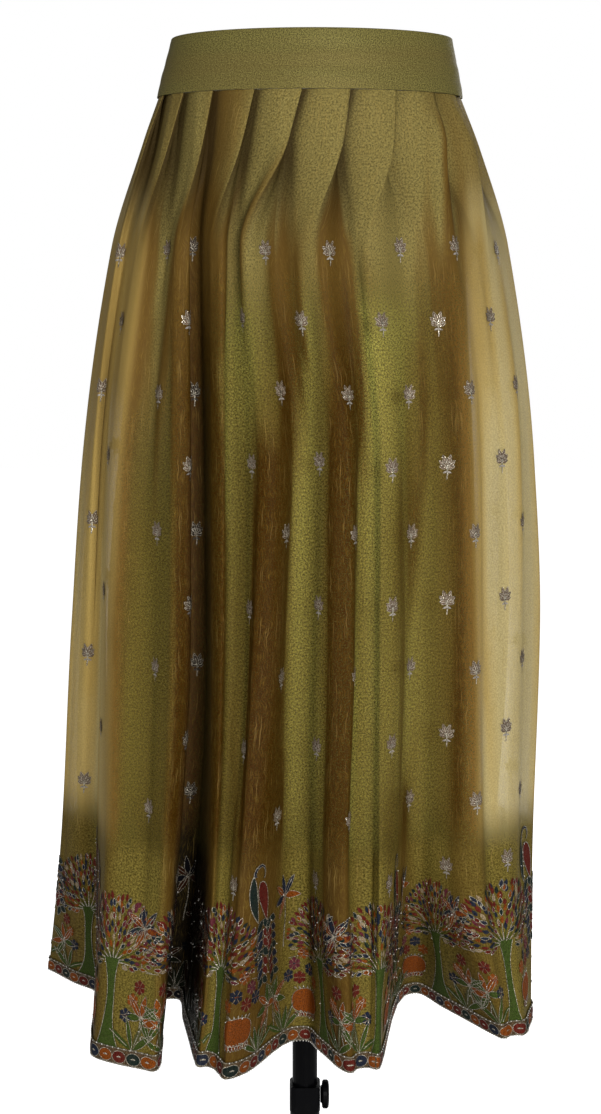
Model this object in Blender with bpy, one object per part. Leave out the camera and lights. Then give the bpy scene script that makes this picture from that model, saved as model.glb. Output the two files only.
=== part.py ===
"""Lehenga skirt on a limbless dress-form stand. Metres, +Z up; the front faces -Y, the pole is on Z."""

import math
from collections import namedtuple

import bmesh
import bpy

MM = 0.001

# Cloth
CLOTH_WALL = 1.0 * MM  # organza, lining and trim
BAND_WALL = 2.4 * MM  # waistband, folded double
SEAM_GAP = 0.3 * MM  # between sewn pieces
# Pleats: each lies under its edge by `lap` degrees, its layers `pitch` apart.
# They are pressed at the seam and open at the yoke.
Pleat = namedtuple("Pleat", "lap pitch lead slant")
PRESSED = Pleat(5.0, 1.6 * MM, 2.5, 0.0)
OPENING = Pleat(1.8, 4.0 * MM, 1.6, 4.0 * MM)

# Heights
Z_WAIST = 1.412
Z_SEAM = 1.352
Z_HEM = 0.373
Z_TRIM_TOP = 0.389
Z_LINING_HEM = 0.552
CLOTH_ROWS = (Z_SEAM, 1.328, 1.300, 1.274, 1.240, 1.170, 1.040, 0.860, 0.680, 0.520, Z_TRIM_TOP, Z_HEM)
LINING_ROWS = (Z_SEAM, 1.290, 1.200, 1.080, 0.940, 0.800, 0.670, Z_LINING_HEM)

# The plan of the body at the waist: ellipse centre x, half width, half depth
Oval = namedtuple("Oval", "z cx a b")
WAIST_TOP = Oval(Z_WAIST, 0.007, 0.144, 0.105)
WAIST_SEAM = Oval(Z_SEAM, 0.005, 0.158, 0.114)
YOKE = Oval(1.300, 0.0055, 0.1805, 0.128)
HIP = Oval(1.200, 0.005, 0.205, 0.150)
YOKE_SHARE = 0.35  # how far a pleat's edge has moved at the yoke, on its way from the seam to the hip

# Folds of the outer skirt, from the viewer's left, counter-clockwise seen from above.
# A fold is one pleat of the waist seam: its edge (ridge) and the valley to the right of it.
# seam: pleat edge in degrees round the waist. The rest: plan places in mm at hip, thigh, knee, calf, hem.
STATIONS = (Z_SEAM, YOKE.z, HIP.z, 0.98, 0.80, 0.56, Z_HEM)
Fold = namedtuple("Fold", "name seam ridge_x ridge_y valley_x valley_y")
FRONT_FOLDS = (
    Fold("left_side", -72, (-190, -222, -235, -253, -268), (-62, -40, -22, 20, 90),
         (-181, -210, -219, -229, -232), (-66, -44, -34, 0, 42)),
    Fold("left_front", -54, (-163, -192, -199, -207, -219), (-104, -100, -102, -116, -138),
         (-145, -158, -163, -177, -189), (-106, -110, -114, -140, -171)),
    Fold("left_deep", -38, (-119, -123, -125, -137, -151), (-134, -142, -148, -160, -178),
         (-112, -111, -111, -126, -150), (-108, -98, -88, -66, 25)),
    Fold("left_of_middle", -20.5, (-87, -87, -88, -94, -109), (-142, -150, -156, -168, -172),
         (-72, -67, -68, -81, -96), (-134, -142, -148, -166, -180)),
    Fold("middle", -3, (-53, -36, -42, -56, -71), (-154, -168, -175, -188, -203),
         (-27, -5, -7, -7, -6), (-138, -144, -142, -126, -104)),
    Fold("right_of_middle", 14.5, (13, 37, 38, 31, 41), (-157, -170, -176, -182, -188),
         (39, 61, 62, 58, 58), (-143, -148, -150, -164, -181)),
    Fold("right_deep", 33, (67, 82, 82, 80, 74), (-150, -160, -166, -172, -178),
         (96, 109, 112, 113, 118), (-128, -124, -118, -88, 42)),
    Fold("right_front", 52, (144, 164, 166, 171, 206), (-116, -116, -118, -112, -92),
         (162, 183, 189, 197, 221), (-92, -86, -88, -92, -88)),
    Fold("right_side", 70, (189, 214, 219, 220, 232), (-58, -58, -60, -70, -84),
         (200, 230, 236, 233, 240), (-32, -28, -28, -36, -56)),
)
BACK_FOLDS = (
    Fold("back_1", 106, (205, 234, 243, 237, 223), (22, 24, 25, 47, 97),
         (193, 213, 214, 195, 159), (42, 44, 45, 62, 93)),
    Fold("back_2", 124, (191, 216, 223, 213, 191), (73, 82, 88, 110, 146),
         (171, 189, 191, 174, 140), (86, 94, 97, 113, 133)),
    Fold("back_3", 142, (153, 175, 182, 175, 155), (112, 122, 128, 146, 172),
         (122, 133, 131, 114, 78), (113, 119, 119, 126, 127)),
    Fold("back_4", 160, (95, 106, 107, 99, 83), (134, 148, 157, 176, 195),
         (66, 71, 68, 58, 39), (135, 143, 146, 157, 159)),
    Fold("back_5", 178, (23, 26, 26, 26, 22), (148, 163, 172, 191, 208),
         (-15, -18, -20, -19, -19), (132, 137, 136, 140, 129)),
    Fold("back_6", 196, (-63, -78, -88, -91, -87), (143, 157, 165, 186, 207),
         (-85, -99, -106, -103, -92), (129, 138, 141, 155, 161)),
    Fold("back_7", 214, (-122, -142, -151, -149, -137), (120, 133, 142, 167, 194),
         (-135, -151, -155, -147, -123), (103, 110, 112, 128, 137)),
    Fold("back_8", 232, (-170, -199, -213, -217, -207), (88, 97, 102, 130, 169),
         (-173, -197, -205, -202, -182), (68, 72, 74, 98, 128)),
    Fold("back_9", 250, (-195, -227, -242, -251, -247), (42, 47, 50, 84, 138),
         (-187, -212, -219, -221, -204), (18, 20, 21, 52, 96)),
)
RIDGE_HALF = (6, 8, 9, 10, 12)  # half width of a ridge's round, mm, from the hip down
VALLEY_HALF = (5, 7, 8, 9, 10)
ROUND_ROOM = 0.4  # most of the way to a neighbour that half a round may take
# Places of the lines between a valley and the next ridge, and beside a side seam
LEAVE_SHARE, APPROACH_SHARE, SEAM_SHARE = 0.34, 0.66, 0.5
SideSeam = namedtuple("SideSeam", "name seam x y")
LEFT_SEAM = SideSeam("left", -89, (-202, -236, -251, -270, -297), (0, 2, 6, 46, 130))
RIGHT_SEAM = SideSeam("right", 87, (213, 243, 252, 247, 245), (0, -2, -3, -8, -34))
STEPS = 2  # points per stretch between a fold's lines

# Lining: ovals at heights, with soft waves that grow to its hem
LiningRow = namedtuple("LiningRow", "z cx a front back wave")
LINING = (
    LiningRow(Z_SEAM, 0.005, 0.1522, 0.1082, 0.1082, 0.0),
    LiningRow(1.290, 0.003, 0.1600, 0.1120, 0.1120, 0.0008),
    LiningRow(1.200, 0.000, 0.1660, 0.1160, 0.1160, 0.0015),
    LiningRow(0.980, -0.008, 0.1860, 0.0980, 0.1200, 0.0025),
    LiningRow(0.800, -0.012, 0.1950, 0.0850, 0.1200, 0.0040),
    LiningRow(Z_LINING_HEM, -0.012, 0.2000, 0.0640, 0.1200, 0.0060),
)
LINING_POINTS = 28  # per half
LINING_WAVES = 9

# Stand
FormRow = namedtuple("FormRow", "z a b")
FORM = (
    FormRow(1.0700, 0.0450, 0.0380), FormRow(1.0735, 0.0850, 0.0640), FormRow(1.0850, 0.1170, 0.0840),
    FormRow(1.1080, 0.1420, 0.0980), FormRow(1.1500, 0.1540, 0.1050), FormRow(1.2000, 0.1570, 0.1085),
    FormRow(1.2600, 0.1555, 0.1085), FormRow(1.3150, 0.1535, 0.1080), FormRow(1.3520, 0.1513, 0.1073),
    FormRow(1.3720, 0.1480, 0.1050), FormRow(1.3820, 0.1435, 0.1010), FormRow(1.3880, 0.1320, 0.0900),
    FormRow(1.3905, 0.1000, 0.0660),
)
FORM_CX = 0.005
FORM_POINTS = 36
ROUND_POINTS = 24
POLE_R = 0.01375
POLE_Z = (0.120, 1.0697)
RUNNING_GAP = 0.3 * MM  # pole in the collar and the lower tube
TUBE_R = 0.0163
TUBE_Z = (0.0203, 0.2577)
COLLAR_HALF = 0.0168
COLLAR_CUT = 0.0024  # taken off each of its corners
COLLAR_Z = (0.2580, 0.2862)
KNOB_Z = 0.2730
Turn = namedtuple("Turn", "along radius")
KNOB_PROFILE = (
    Turn(0.0171, 0.0090), Turn(0.0185, 0.0100), Turn(0.0190, 0.0140), Turn(0.0205, 0.0158),
    Turn(0.0245, 0.0158), Turn(0.0262, 0.0140), Turn(0.0268, 0.0090),
)
BASE_PROFILE = (
    Turn(0.0, 0.168), Turn(0.0015, 0.170), Turn(0.0080, 0.170), Turn(0.0120, 0.166),
    Turn(0.0160, 0.150), Turn(0.0200, 0.040),
)

# Finishes
Finish = namedtuple("Finish", "colour roughness metallic")
ORGANZA = Finish((0.26, 0.18, 0.06), 0.50, 0.0)
LINING_TISSUE = Finish((0.18, 0.17, 0.045), 0.45, 0.2)
BAND_TISSUE = Finish((0.19, 0.15, 0.05), 0.50, 0.0)
TRIM = Finish((0.16, 0.09, 0.05), 0.50, 0.0)
FORM_COVER = Finish((0.55, 0.50, 0.42), 0.80, 0.0)
BLACK_METAL = Finish((0.02, 0.02, 0.022), 0.35, 0.3)
BLACK_PLASTIC = Finish((0.02, 0.02, 0.022), 0.50, 0.0)
SHARP_ANGLE = math.radians(35)


def oval_point(oval, degrees, inset=0.0):
    """Plan point on an oval; 0 degrees is the front, +90 the viewer's right."""
    t = math.radians(degrees)
    x, y = oval.a * math.sin(t), -oval.b * math.cos(t)
    length = math.hypot(x, y)
    return (oval.cx + x * (length - inset) / length, y * (length - inset) / length)


def mix(p, q, share):
    return (p[0] + (q[0] - p[0]) * share, p[1] + (q[1] - p[1]) * share)


def lerp_row(rows, z):
    """The named row at a height between the rows of a table."""
    rows = sorted(rows, key=lambda row: row.z)
    z = min(max(z, rows[0].z), rows[-1].z)
    for low, high in zip(rows, rows[1:]):
        if z <= high.z:
            share = (z - low.z) / (high.z - low.z)
            return type(low)(*(a + (b - a) * share for a, b in zip(low, high)))
    return rows[-1]


def track(values, z):
    """Smooth, never overshooting value at height z through the values at the STATIONS."""
    heights = [-s for s in STATIONS]
    slopes = [(b - a) / (h1 - h0) for a, b, h0, h1 in zip(values, values[1:], heights, heights[1:])]
    tangents = [slopes[0]]
    for before, after in zip(slopes, slopes[1:]):
        tangents.append(0.0 if before * after <= 0 else 2 * before * after / (before + after))
    tangents.append(slopes[-1])
    at = min(max(-z, heights[0]), heights[-1])
    i = max(k for k in range(len(slopes)) if heights[k] <= at)
    width = heights[i + 1] - heights[i]
    s = (at - heights[i]) / width
    return (
        values[i] * (1 + 2 * s) * (1 - s) ** 2
        + tangents[i] * width * s * (1 - s) ** 2
        + values[i + 1] * s * s * (3 - 2 * s)
        + tangents[i + 1] * width * s * s * (s - 1)
    )


def pleat_points(oval, pleat, edge):
    """The six lines of a flat pleat: approach, edge, turn, inner edge, inner turn, leave."""
    under = edge - pleat.lap
    return [
        oval_point(oval, under - pleat.lead, 0),
        oval_point(oval, edge, 0),
        oval_point(oval, edge, pleat.pitch),
        oval_point(oval, under, pleat.pitch + pleat.slant),
        oval_point(oval, under, 2 * pleat.pitch + pleat.slant),
        oval_point(oval, edge + pleat.lead / 2, 2 * pleat.pitch + pleat.slant),
    ]


def yoke_edge(seam, x, y):
    """Degrees at the yoke of a line that starts at `seam` degrees and passes (x, y) mm at the hip."""
    hip = math.degrees(math.atan2((x * MM - HIP.cx) / HIP.a, -y * MM / HIP.b))
    while hip < seam - 180:
        hip += 360
    return seam + (hip - seam) * YOKE_SHARE


def fold_lines():
    """Plan points at the stations of every line of the cloth, and which lines are the side seams."""
    order = [LEFT_SEAM, *FRONT_FOLDS, RIGHT_SEAM, *BACK_FOLDS]
    stations = []
    for s in range(len(RIDGE_HALF)):
        marks = []  # ridge or seam point, and valley or None
        for item in order:
            if isinstance(item, Fold):
                ridge = (item.ridge_x[s] * MM, item.ridge_y[s] * MM)
                marks.append((ridge, (item.valley_x[s] * MM, item.valley_y[s] * MM)))
            else:
                marks.append(((item.x[s] * MM, item.y[s] * MM), None))
        shoulders = []
        count = len(order)
        for i, (ridge, valley) in enumerate(marks):
            if valley is None:
                shoulders.append([ridge])
                continue
            before = marks[i - 1][1] or marks[i - 1][0]
            after = marks[(i + 1) % count][0]
            ridge_pair = pair(ridge, before, valley, RIDGE_HALF[s] * MM)
            shoulders.append([*ridge_pair, *pair(valley, ridge, after, VALLEY_HALF[s] * MM)])
        lines = []
        for i, points in enumerate(shoulders):
            if len(points) == 1:
                lines.append(points)
                continue
            before, after = shoulders[i - 1], shoulders[(i + 1) % count]
            share_in = SEAM_SHARE if len(before) == 1 else APPROACH_SHARE
            share_out = SEAM_SHARE if len(after) == 1 else LEAVE_SHARE
            approach, leave = mix(before[-1], points[0], share_in), mix(points[-1], after[0], share_out)
            lines.append([approach, *points, leave])
        stations.append([p for group in lines for p in group])
    top, yoke, sides = [], [], []
    for item in order:
        if isinstance(item, Fold):
            top.extend(pleat_points(WAIST_SEAM, PRESSED, item.seam))
            yoke.extend(pleat_points(YOKE, OPENING, yoke_edge(item.seam, item.ridge_x[0], item.ridge_y[0])))
        else:
            sides.append(len(top))
            top.append(oval_point(WAIST_SEAM, item.seam, PRESSED.pitch))
            yoke.append(oval_point(YOKE, yoke_edge(item.seam, item.x[0], item.y[0]), OPENING.pitch))
    return [list(column) for column in zip(top, yoke, *stations)], sides


def pair(centre, before, after, half):
    """Two points astride a ridge or a valley, along the way from one neighbour to the other."""
    dx, dy = after[0] - before[0], after[1] - before[1]
    length = math.hypot(dx, dy)
    room = min(half, ROUND_ROOM * math.dist(centre, before), ROUND_ROOM * math.dist(centre, after))
    step = (dx / length * room, dy / length * room)
    return (centre[0] - step[0], centre[1] - step[1]), (centre[0] + step[0], centre[1] + step[1])


def curve_point(p0, p1, p2, p3, share):
    """Centripetal Catmull-Rom between p1 and p2."""
    knots = [0.0]
    for a, b in ((p0, p1), (p1, p2), (p2, p3)):
        knots.append(knots[-1] + max(math.hypot(b[0] - a[0], b[1] - a[1]), 1e-6) ** 0.5)
    t0, t1, t2, t3 = knots
    t = t1 + (t2 - t1) * share

    def blend(a, b, low, high):
        return mix(a, b, (t - low) / (high - low))

    a1, a2, a3 = blend(p0, p1, t0, t1), blend(p1, p2, t1, t2), blend(p2, p3, t2, t3)
    return blend(blend(a1, a2, t0, t2), blend(a2, a3, t1, t3), t1, t2)


def cloth_ring(lines, z):
    """The cloth's middle line in plan at a height, all round from the left side seam."""
    marks = [(track([p[0] for p in line], z), track([p[1] for p in line], z)) for line in lines]
    opened = min(max((YOKE.z - z) / (YOKE.z - HIP.z), 0.0), 1.0)
    opened = opened * opened * (3 - 2 * opened)
    count, ring = len(marks), []
    for i in range(count):
        p0, p1, p2, p3 = (marks[(i + k) % count] for k in (-1, 0, 1, 2))
        for k in range(STEPS):
            share = k / STEPS
            ring.append(mix(mix(p1, p2, share), curve_point(p0, p1, p2, p3, share), opened))
    return ring


def outward(ring, closed):
    """Mitred outward directions of a counter-clockwise plan line."""
    count, result = len(ring), []
    for i, point in enumerate(ring):
        before = ring[i - 1] if closed or i else point
        after = ring[(i + 1) % count] if closed or i < count - 1 else point
        normals = []
        for a, b in ((before, point), (point, after)):
            length = math.hypot(b[0] - a[0], b[1] - a[1])
            if length > 1e-9:
                normals.append(((b[1] - a[1]) / length, -(b[0] - a[0]) / length))
        nx, ny = sum(n[0] for n in normals), sum(n[1] for n in normals)
        length = math.hypot(nx, ny) or 1.0
        nx, ny = nx / length, ny / length
        stretch = 1 / max(nx * normals[0][0] + ny * normals[0][1], 0.6)
        result.append((nx * stretch, ny * stretch))
    return result


def moved(ring, directions, distance):
    return [(p[0] + n[0] * distance, p[1] + n[1] * distance) for p, n in zip(ring, directions)]


def cut_ends(line, gap):
    """Shortens an open plan line at both ends."""
    line = list(line)
    for end, inner in ((0, 1), (-1, -2)):
        length = math.hypot(line[inner][0] - line[end][0], line[inner][1] - line[end][1])
        line[end] = mix(line[end], line[inner], gap / length)
    return line


def add_object(name, vertices, faces, finish, place=(0, 0, 0)):
    """A named object whose vertices are given from its own origin, at `place`."""
    mesh = bpy.data.meshes.new(name)
    mesh.from_pydata(vertices, [], faces)
    tidy = bmesh.new()
    tidy.from_mesh(mesh)
    bmesh.ops.recalc_face_normals(tidy, faces=tidy.faces)
    tidy.to_mesh(mesh)
    tidy.free()
    mesh.shade_smooth()
    mesh.set_sharp_from_angle(angle=SHARP_ANGLE)
    material = bpy.data.materials.new(name)
    material.use_nodes = True
    surface = material.node_tree.nodes["Principled BSDF"]
    surface.inputs["Base Color"].default_value = (*finish.colour, 1.0)
    surface.inputs["Roughness"].default_value = finish.roughness
    surface.inputs["Metallic"].default_value = finish.metallic
    mesh.materials.append(material)
    obj = bpy.data.objects.new(name, mesh)
    obj.location = place
    bpy.context.scene.collection.objects.link(obj)
    return obj


def wall(name, outer, inner, finish):
    """One closed wall from two grids of rows of 3-D points, outer face and inner face."""
    rows, columns = len(outer), len(outer[0])
    vertices = [p for grid in (outer, inner) for row in grid for p in row]

    def at(side, row, column):
        return (side * rows + row) * columns + column

    faces = []
    for r in range(rows - 1):
        for c in range(columns - 1):
            for side in (0, 1):  # the same diagonal on both faces, so that stacked pieces stay apart
                faces.append((at(side, r, c), at(side, r, c + 1), at(side, r + 1, c + 1)))
                faces.append((at(side, r, c), at(side, r + 1, c + 1), at(side, r + 1, c)))
        for c in (0, columns - 1):
            faces.append((at(0, r, c), at(0, r + 1, c), at(1, r + 1, c), at(1, r, c)))
    for c in range(columns - 1):
        for r in (0, rows - 1):
            faces.append((at(0, r, c), at(1, r, c), at(1, r, c + 1), at(0, r, c + 1)))
    return add_object(name, vertices, faces, finish)


def lathe(name, profile, finish, along="z", place=(0, 0, 0), closed=False):
    """A round solid from places along its axis and radii; capped at both ends unless it is closed."""
    vertices = []
    for distance, radius in profile:
        for k in range(ROUND_POINTS):
            t = 2 * math.pi * k / ROUND_POINTS
            u, v = radius * math.cos(t), radius * math.sin(t)
            vertices.append((u, v, distance) if along == "z" else (distance, u, v))
    count, n = len(profile), ROUND_POINTS
    faces = [
        (r * n + k, r * n + (k + 1) % n, (r + 1) % count * n + (k + 1) % n, (r + 1) % count * n + k)
        for r in range(count if closed else count - 1)
        for k in range(n)
    ]
    if not closed:
        faces += [tuple(range(n)), tuple(range((count - 1) * n, count * n))]
    return add_object(name, vertices, faces, finish, place)


def make_skirt():
    lines, sides = fold_lines()
    left, right = (side * STEPS for side in sides)
    rings, faces = {}, {}
    for z in CLOTH_ROWS:
        ring = cloth_ring(lines, z)
        rings[z], faces[z] = ring, outward(ring, True)

    def panel(name, start, stop, rows, middle, finish):
        """A strip of the skirt between two columns: its middle surface `middle` outside the cloth's own."""
        grids = []
        for side in (0.5, -0.5):
            grid = []
            for z in rows:
                ring, out = rings[z], faces[z]
                count = len(ring)
                line = [ring[i % count] for i in range(start, stop + 1)]
                directions = [out[i % count] for i in range(start, stop + 1)]
                shifted = moved(line, directions, middle + side * CLOTH_WALL)
                grid.append([(x, y, z) for x, y in cut_ends(shifted, SEAM_GAP / 2)])
            grids.append(grid)
        return wall(name, *grids, finish)

    whole = len(rings[Z_SEAM])
    trim_out = CLOTH_WALL + SEAM_GAP
    for half, start, stop in (("front", left, right), ("back", right, left + whole)):
        panel(f"skirt_{half}", start, stop, CLOTH_ROWS, 0.0, ORGANZA)
        panel(f"hem_trim_{half}", start, stop, CLOTH_ROWS[-2:], trim_out, TRIM)


def make_lining():
    half = LINING_POINTS
    grids = {"front": ([], []), "back": ([], [])}
    for z in LINING_ROWS:
        row = lerp_row(LINING, z)
        ring = []
        for k in range(2 * half):
            degrees = -90 + 180.0 * k / half
            depth = row.front if k <= half else row.back
            wave = row.wave * math.cos(math.radians(LINING_WAVES * degrees))
            ring.append(oval_point(Oval(z, row.cx, row.a, depth), degrees, -wave))
        out = outward(ring, True)
        for side, distance in enumerate((CLOTH_WALL / 2, -CLOTH_WALL / 2)):
            face = moved(ring, out, distance)
            for name, line in (("front", face[: half + 1]), ("back", [*face[half:], face[0]])):
                grids[name][side].append([(x, y, z) for x, y in cut_ends(line, SEAM_GAP / 2)])
    for name, (outer, inner) in grids.items():
        wall(f"lining_{name}", outer, inner, LINING_TISSUE)


def make_waistband():
    """The front strip ends over the back strip's underlap, at the viewer's right."""
    lap_from, lap_to, step_in = 84.0, 70.0, BAND_WALL + SEAM_GAP  # degrees round the waist, and metres
    front = [(-90 + 174.0 * k / 29, 0.0) for k in range(30)]
    back = [(lap_to + 3.0 * k, step_in) for k in range(5)]
    back += [(lap_from + 1.0, step_in), (lap_from + 2.5, step_in * 0.6), (lap_from + 4.5, step_in * 0.1)]
    back += [(91 + 179.0 * k / 30, 0.0) for k in range(31)]
    levels = (Z_SEAM + SEAM_GAP, (Z_SEAM + Z_WAIST) / 2, Z_WAIST)
    for name, stations in (("waistband_front", front), ("waistband_back", back)):
        grids = []
        for side in (0.5, -0.5):
            grid = []
            for z in levels:
                oval = lerp_row((WAIST_TOP, WAIST_SEAM), z)
                line = [oval_point(oval, degrees, inset) for degrees, inset in stations]
                line = moved(line, outward(line, False), side * BAND_WALL)
                grid.append([(x, y, z) for x, y in cut_ends(line, SEAM_GAP / 2)])
            grids.append(grid)
        wall(name, *grids, BAND_TISSUE)


def make_stand():
    vertices, n = [], FORM_POINTS
    for row in FORM:
        oval = Oval(row.z, FORM_CX, row.a, row.b)
        vertices += [(*oval_point(oval, 360.0 * k / n), row.z) for k in range(n)]
    rows = len(FORM)
    faces = [
        (r * n + k, r * n + (k + 1) % n, (r + 1) * n + (k + 1) % n, (r + 1) * n + k)
        for r in range(rows - 1)
        for k in range(n)
    ]
    faces += [tuple(range(n)), tuple(range((rows - 1) * n, rows * n))]
    add_object("form", vertices, faces, FORM_COVER)

    lathe("pole", [(z, POLE_R) for z in POLE_Z], BLACK_METAL)
    bore = POLE_R + RUNNING_GAP
    foot, top = TUBE_Z
    lathe("lower_tube", [(foot, TUBE_R), (top, TUBE_R), (top, bore), (foot, bore)], BLACK_METAL, closed=True)
    lathe("collar_knob", KNOB_PROFILE, BLACK_PLASTIC, along="x", place=(0, 0, KNOB_Z))
    lathe("base", BASE_PROFILE, BLACK_METAL)
    make_collar(bore)


def make_collar(bore):
    """A rounded square block around the pole: the same number of points on the square as on the bore."""
    n = ROUND_POINTS
    square = []
    for k in range(n):
        t = 2 * math.pi * k / n
        reach = COLLAR_HALF / max(abs(math.cos(t)), abs(math.sin(t)))
        limit = COLLAR_HALF * math.sqrt(2) - COLLAR_CUT
        square.append((min(reach, limit) * math.cos(t), min(reach, limit) * math.sin(t)))
    hole = [(bore * math.cos(2 * math.pi * k / n), bore * math.sin(2 * math.pi * k / n)) for k in range(n)]
    foot, top = COLLAR_Z
    loops = ((square, foot), (square, top), (hole, top), (hole, foot))
    vertices = [(x, y, z) for ring, z in loops for x, y in ring]
    faces = [
        (r * n + k, r * n + (k + 1) % n, (r + 1) % 4 * n + (k + 1) % n, (r + 1) % 4 * n + k)
        for r in range(4)
        for k in range(n)
    ]
    add_object("collar", vertices, faces, BLACK_PLASTIC)


def main():
    for obj in list(bpy.data.objects):
        bpy.data.objects.remove(obj)
    make_skirt()
    make_lining()
    make_waistband()
    make_stand()


main()
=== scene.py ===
"""Lehenga skirt on a limbless dress-form stand: its looks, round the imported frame.

Metres, +Z up, the skirt's front faces -Y.
"""

import math
import random
from collections import namedtuple

import bpy
import numpy as np
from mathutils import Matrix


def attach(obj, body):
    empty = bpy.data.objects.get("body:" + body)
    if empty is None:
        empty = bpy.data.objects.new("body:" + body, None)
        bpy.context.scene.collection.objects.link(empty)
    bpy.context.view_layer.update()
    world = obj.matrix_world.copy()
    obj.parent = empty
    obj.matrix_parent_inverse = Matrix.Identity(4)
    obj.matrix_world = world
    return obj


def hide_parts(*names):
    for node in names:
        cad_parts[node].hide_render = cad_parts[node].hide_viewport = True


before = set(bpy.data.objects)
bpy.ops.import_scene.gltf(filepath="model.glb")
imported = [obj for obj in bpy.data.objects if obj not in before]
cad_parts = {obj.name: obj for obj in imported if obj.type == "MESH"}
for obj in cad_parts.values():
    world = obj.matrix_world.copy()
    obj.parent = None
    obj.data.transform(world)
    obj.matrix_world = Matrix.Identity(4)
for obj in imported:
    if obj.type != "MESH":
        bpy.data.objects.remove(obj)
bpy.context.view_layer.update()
MM = 0.001

# Heights of the skirt
Z_WAIST = 1.412
Z_SEAM = 1.352
Z_TRIM_TOP = 0.389
Z_HEM = 0.373
Z_LINING_HEM = 0.552

# Heights between which one state of the cloth passes into another
Passage = namedtuple("Passage", "foot top")
COVER_CHANGE = Passage(0.90, 1.13)  # from the lower table of covers to the upper one
COVER_GATHER = Passage(1.18, 1.28)  # from the open folds to the pleats, where the covers differ less
THREAD_GATHER = Passage(1.16, 1.24)  # threads below follow the open cloth, above each pleat's own edge
BORDER_TOP = Passage(0.57, 0.63)
GATHER_LEFT = Passage(0.86, 1.10)  # the pressed top, at the viewer's left, in the middle and at the right
GATHER_MIDDLE = Passage(1.05, 1.21)
GATHER_RIGHT = Passage(0.98, 1.27)
PLEAT_SHADE_FOOT = Passage(1.17, 1.29)
VEIL_TOP = Passage(1.20, 1.30)

# The plan of the body at the waist: ellipse centre x, half width, half depth
Oval = namedtuple("Oval", "z cx a b")
WAIST_TOP = Oval(Z_WAIST, 0.007, 0.144, 0.105)
WAIST_SEAM = Oval(Z_SEAM, 0.005, 0.158, 0.114)
YOKE = Oval(1.300, 0.0055, 0.1805, 0.128)
HIP = Oval(1.200, 0.005, 0.205, 0.150)
YOKE_SHARE = 0.35  # of the way round from a pleat's edge in the band to its ridge at the hip

# Each pleat lies under its edge by `lap` degrees, its layers `pitch` apart, and its hidden turn `slant`
# deeper; `lead` degrees of single cloth run up to it
Pleat = namedtuple("Pleat", "lap pitch lead slant")
PRESSED = Pleat(5.0, 1.6 * MM, 2.5, 0.0)
OPENING = Pleat(1.8, 4.0 * MM, 1.6, 4.0 * MM)

# Folds of the outer skirt from the viewer's left, counter-clockwise seen from above: ridge and valley in
# plan, in mm at hip, thigh, knee, calf and hem
STATIONS = np.array((Z_SEAM, YOKE.z, HIP.z, 0.98, 0.80, 0.56, Z_HEM))
Fold = namedtuple("Fold", "name seam ridge_x ridge_y valley_x valley_y")
FRONT_FOLDS = (
    Fold("left_side", -72, (-190, -222, -235, -253, -268), (-62, -40, -22, 20, 90),
         (-181, -210, -219, -229, -232), (-66, -44, -34, 0, 42)),
    Fold("left_front", -54, (-163, -192, -199, -207, -219), (-104, -100, -102, -116, -138),
         (-145, -158, -163, -177, -189), (-106, -110, -114, -140, -171)),
    Fold("left_deep", -38, (-119, -123, -125, -137, -151), (-134, -142, -148, -160, -178),
         (-112, -111, -111, -126, -150), (-108, -98, -88, -66, 25)),
    Fold("left_of_middle", -20.5, (-87, -87, -88, -94, -109), (-142, -150, -156, -168, -172),
         (-72, -67, -68, -81, -96), (-134, -142, -148, -166, -180)),
    Fold("middle", -3, (-53, -36, -42, -56, -71), (-154, -168, -175, -188, -203),
         (-27, -5, -7, -7, -6), (-138, -144, -142, -126, -104)),
    Fold("right_of_middle", 14.5, (13, 37, 38, 31, 41), (-157, -170, -176, -182, -188),
         (39, 61, 62, 58, 58), (-143, -148, -150, -164, -181)),
    Fold("right_deep", 33, (67, 82, 82, 80, 74), (-150, -160, -166, -172, -178),
         (96, 109, 112, 113, 118), (-128, -124, -118, -88, 42)),
    Fold("right_front", 52, (144, 164, 166, 171, 206), (-116, -116, -118, -112, -92),
         (162, 183, 189, 197, 221), (-92, -86, -88, -92, -88)),
    Fold("right_side", 70, (189, 214, 219, 220, 232), (-58, -58, -60, -70, -84),
         (200, 230, 236, 233, 240), (-32, -28, -28, -36, -56)),
)
BACK_FOLDS = (
    Fold("back_1", 106, (205, 234, 243, 237, 223), (22, 24, 25, 47, 97),
         (193, 213, 214, 195, 159), (42, 44, 45, 62, 93)),
    Fold("back_2", 124, (191, 216, 223, 213, 191), (73, 82, 88, 110, 146),
         (171, 189, 191, 174, 140), (86, 94, 97, 113, 133)),
    Fold("back_3", 142, (153, 175, 182, 175, 155), (112, 122, 128, 146, 172),
         (122, 133, 131, 114, 78), (113, 119, 119, 126, 127)),
    Fold("back_4", 160, (95, 106, 107, 99, 83), (134, 148, 157, 176, 195),
         (66, 71, 68, 58, 39), (135, 143, 146, 157, 159)),
    Fold("back_5", 178, (23, 26, 26, 26, 22), (148, 163, 172, 191, 208),
         (-15, -18, -20, -19, -19), (132, 137, 136, 140, 129)),
    Fold("back_6", 196, (-63, -78, -88, -91, -87), (143, 157, 165, 186, 207),
         (-85, -99, -106, -103, -92), (129, 138, 141, 155, 161)),
    Fold("back_7", 214, (-122, -142, -151, -149, -137), (120, 133, 142, 167, 194),
         (-135, -151, -155, -147, -123), (103, 110, 112, 128, 137)),
    Fold("back_8", 232, (-170, -199, -213, -217, -207), (88, 97, 102, 130, 169),
         (-173, -197, -205, -202, -182), (68, 72, 74, 98, 128)),
    Fold("back_9", 250, (-195, -227, -242, -251, -247), (42, 47, 50, 84, 138),
         (-187, -212, -219, -221, -204), (18, 20, 21, 52, 96)),
)
RIDGE_HALF = (6, 8, 9, 10, 12)  # half width of a ridge's round, mm, from the hip down
VALLEY_HALF = (5, 7, 8, 9, 10)
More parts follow.
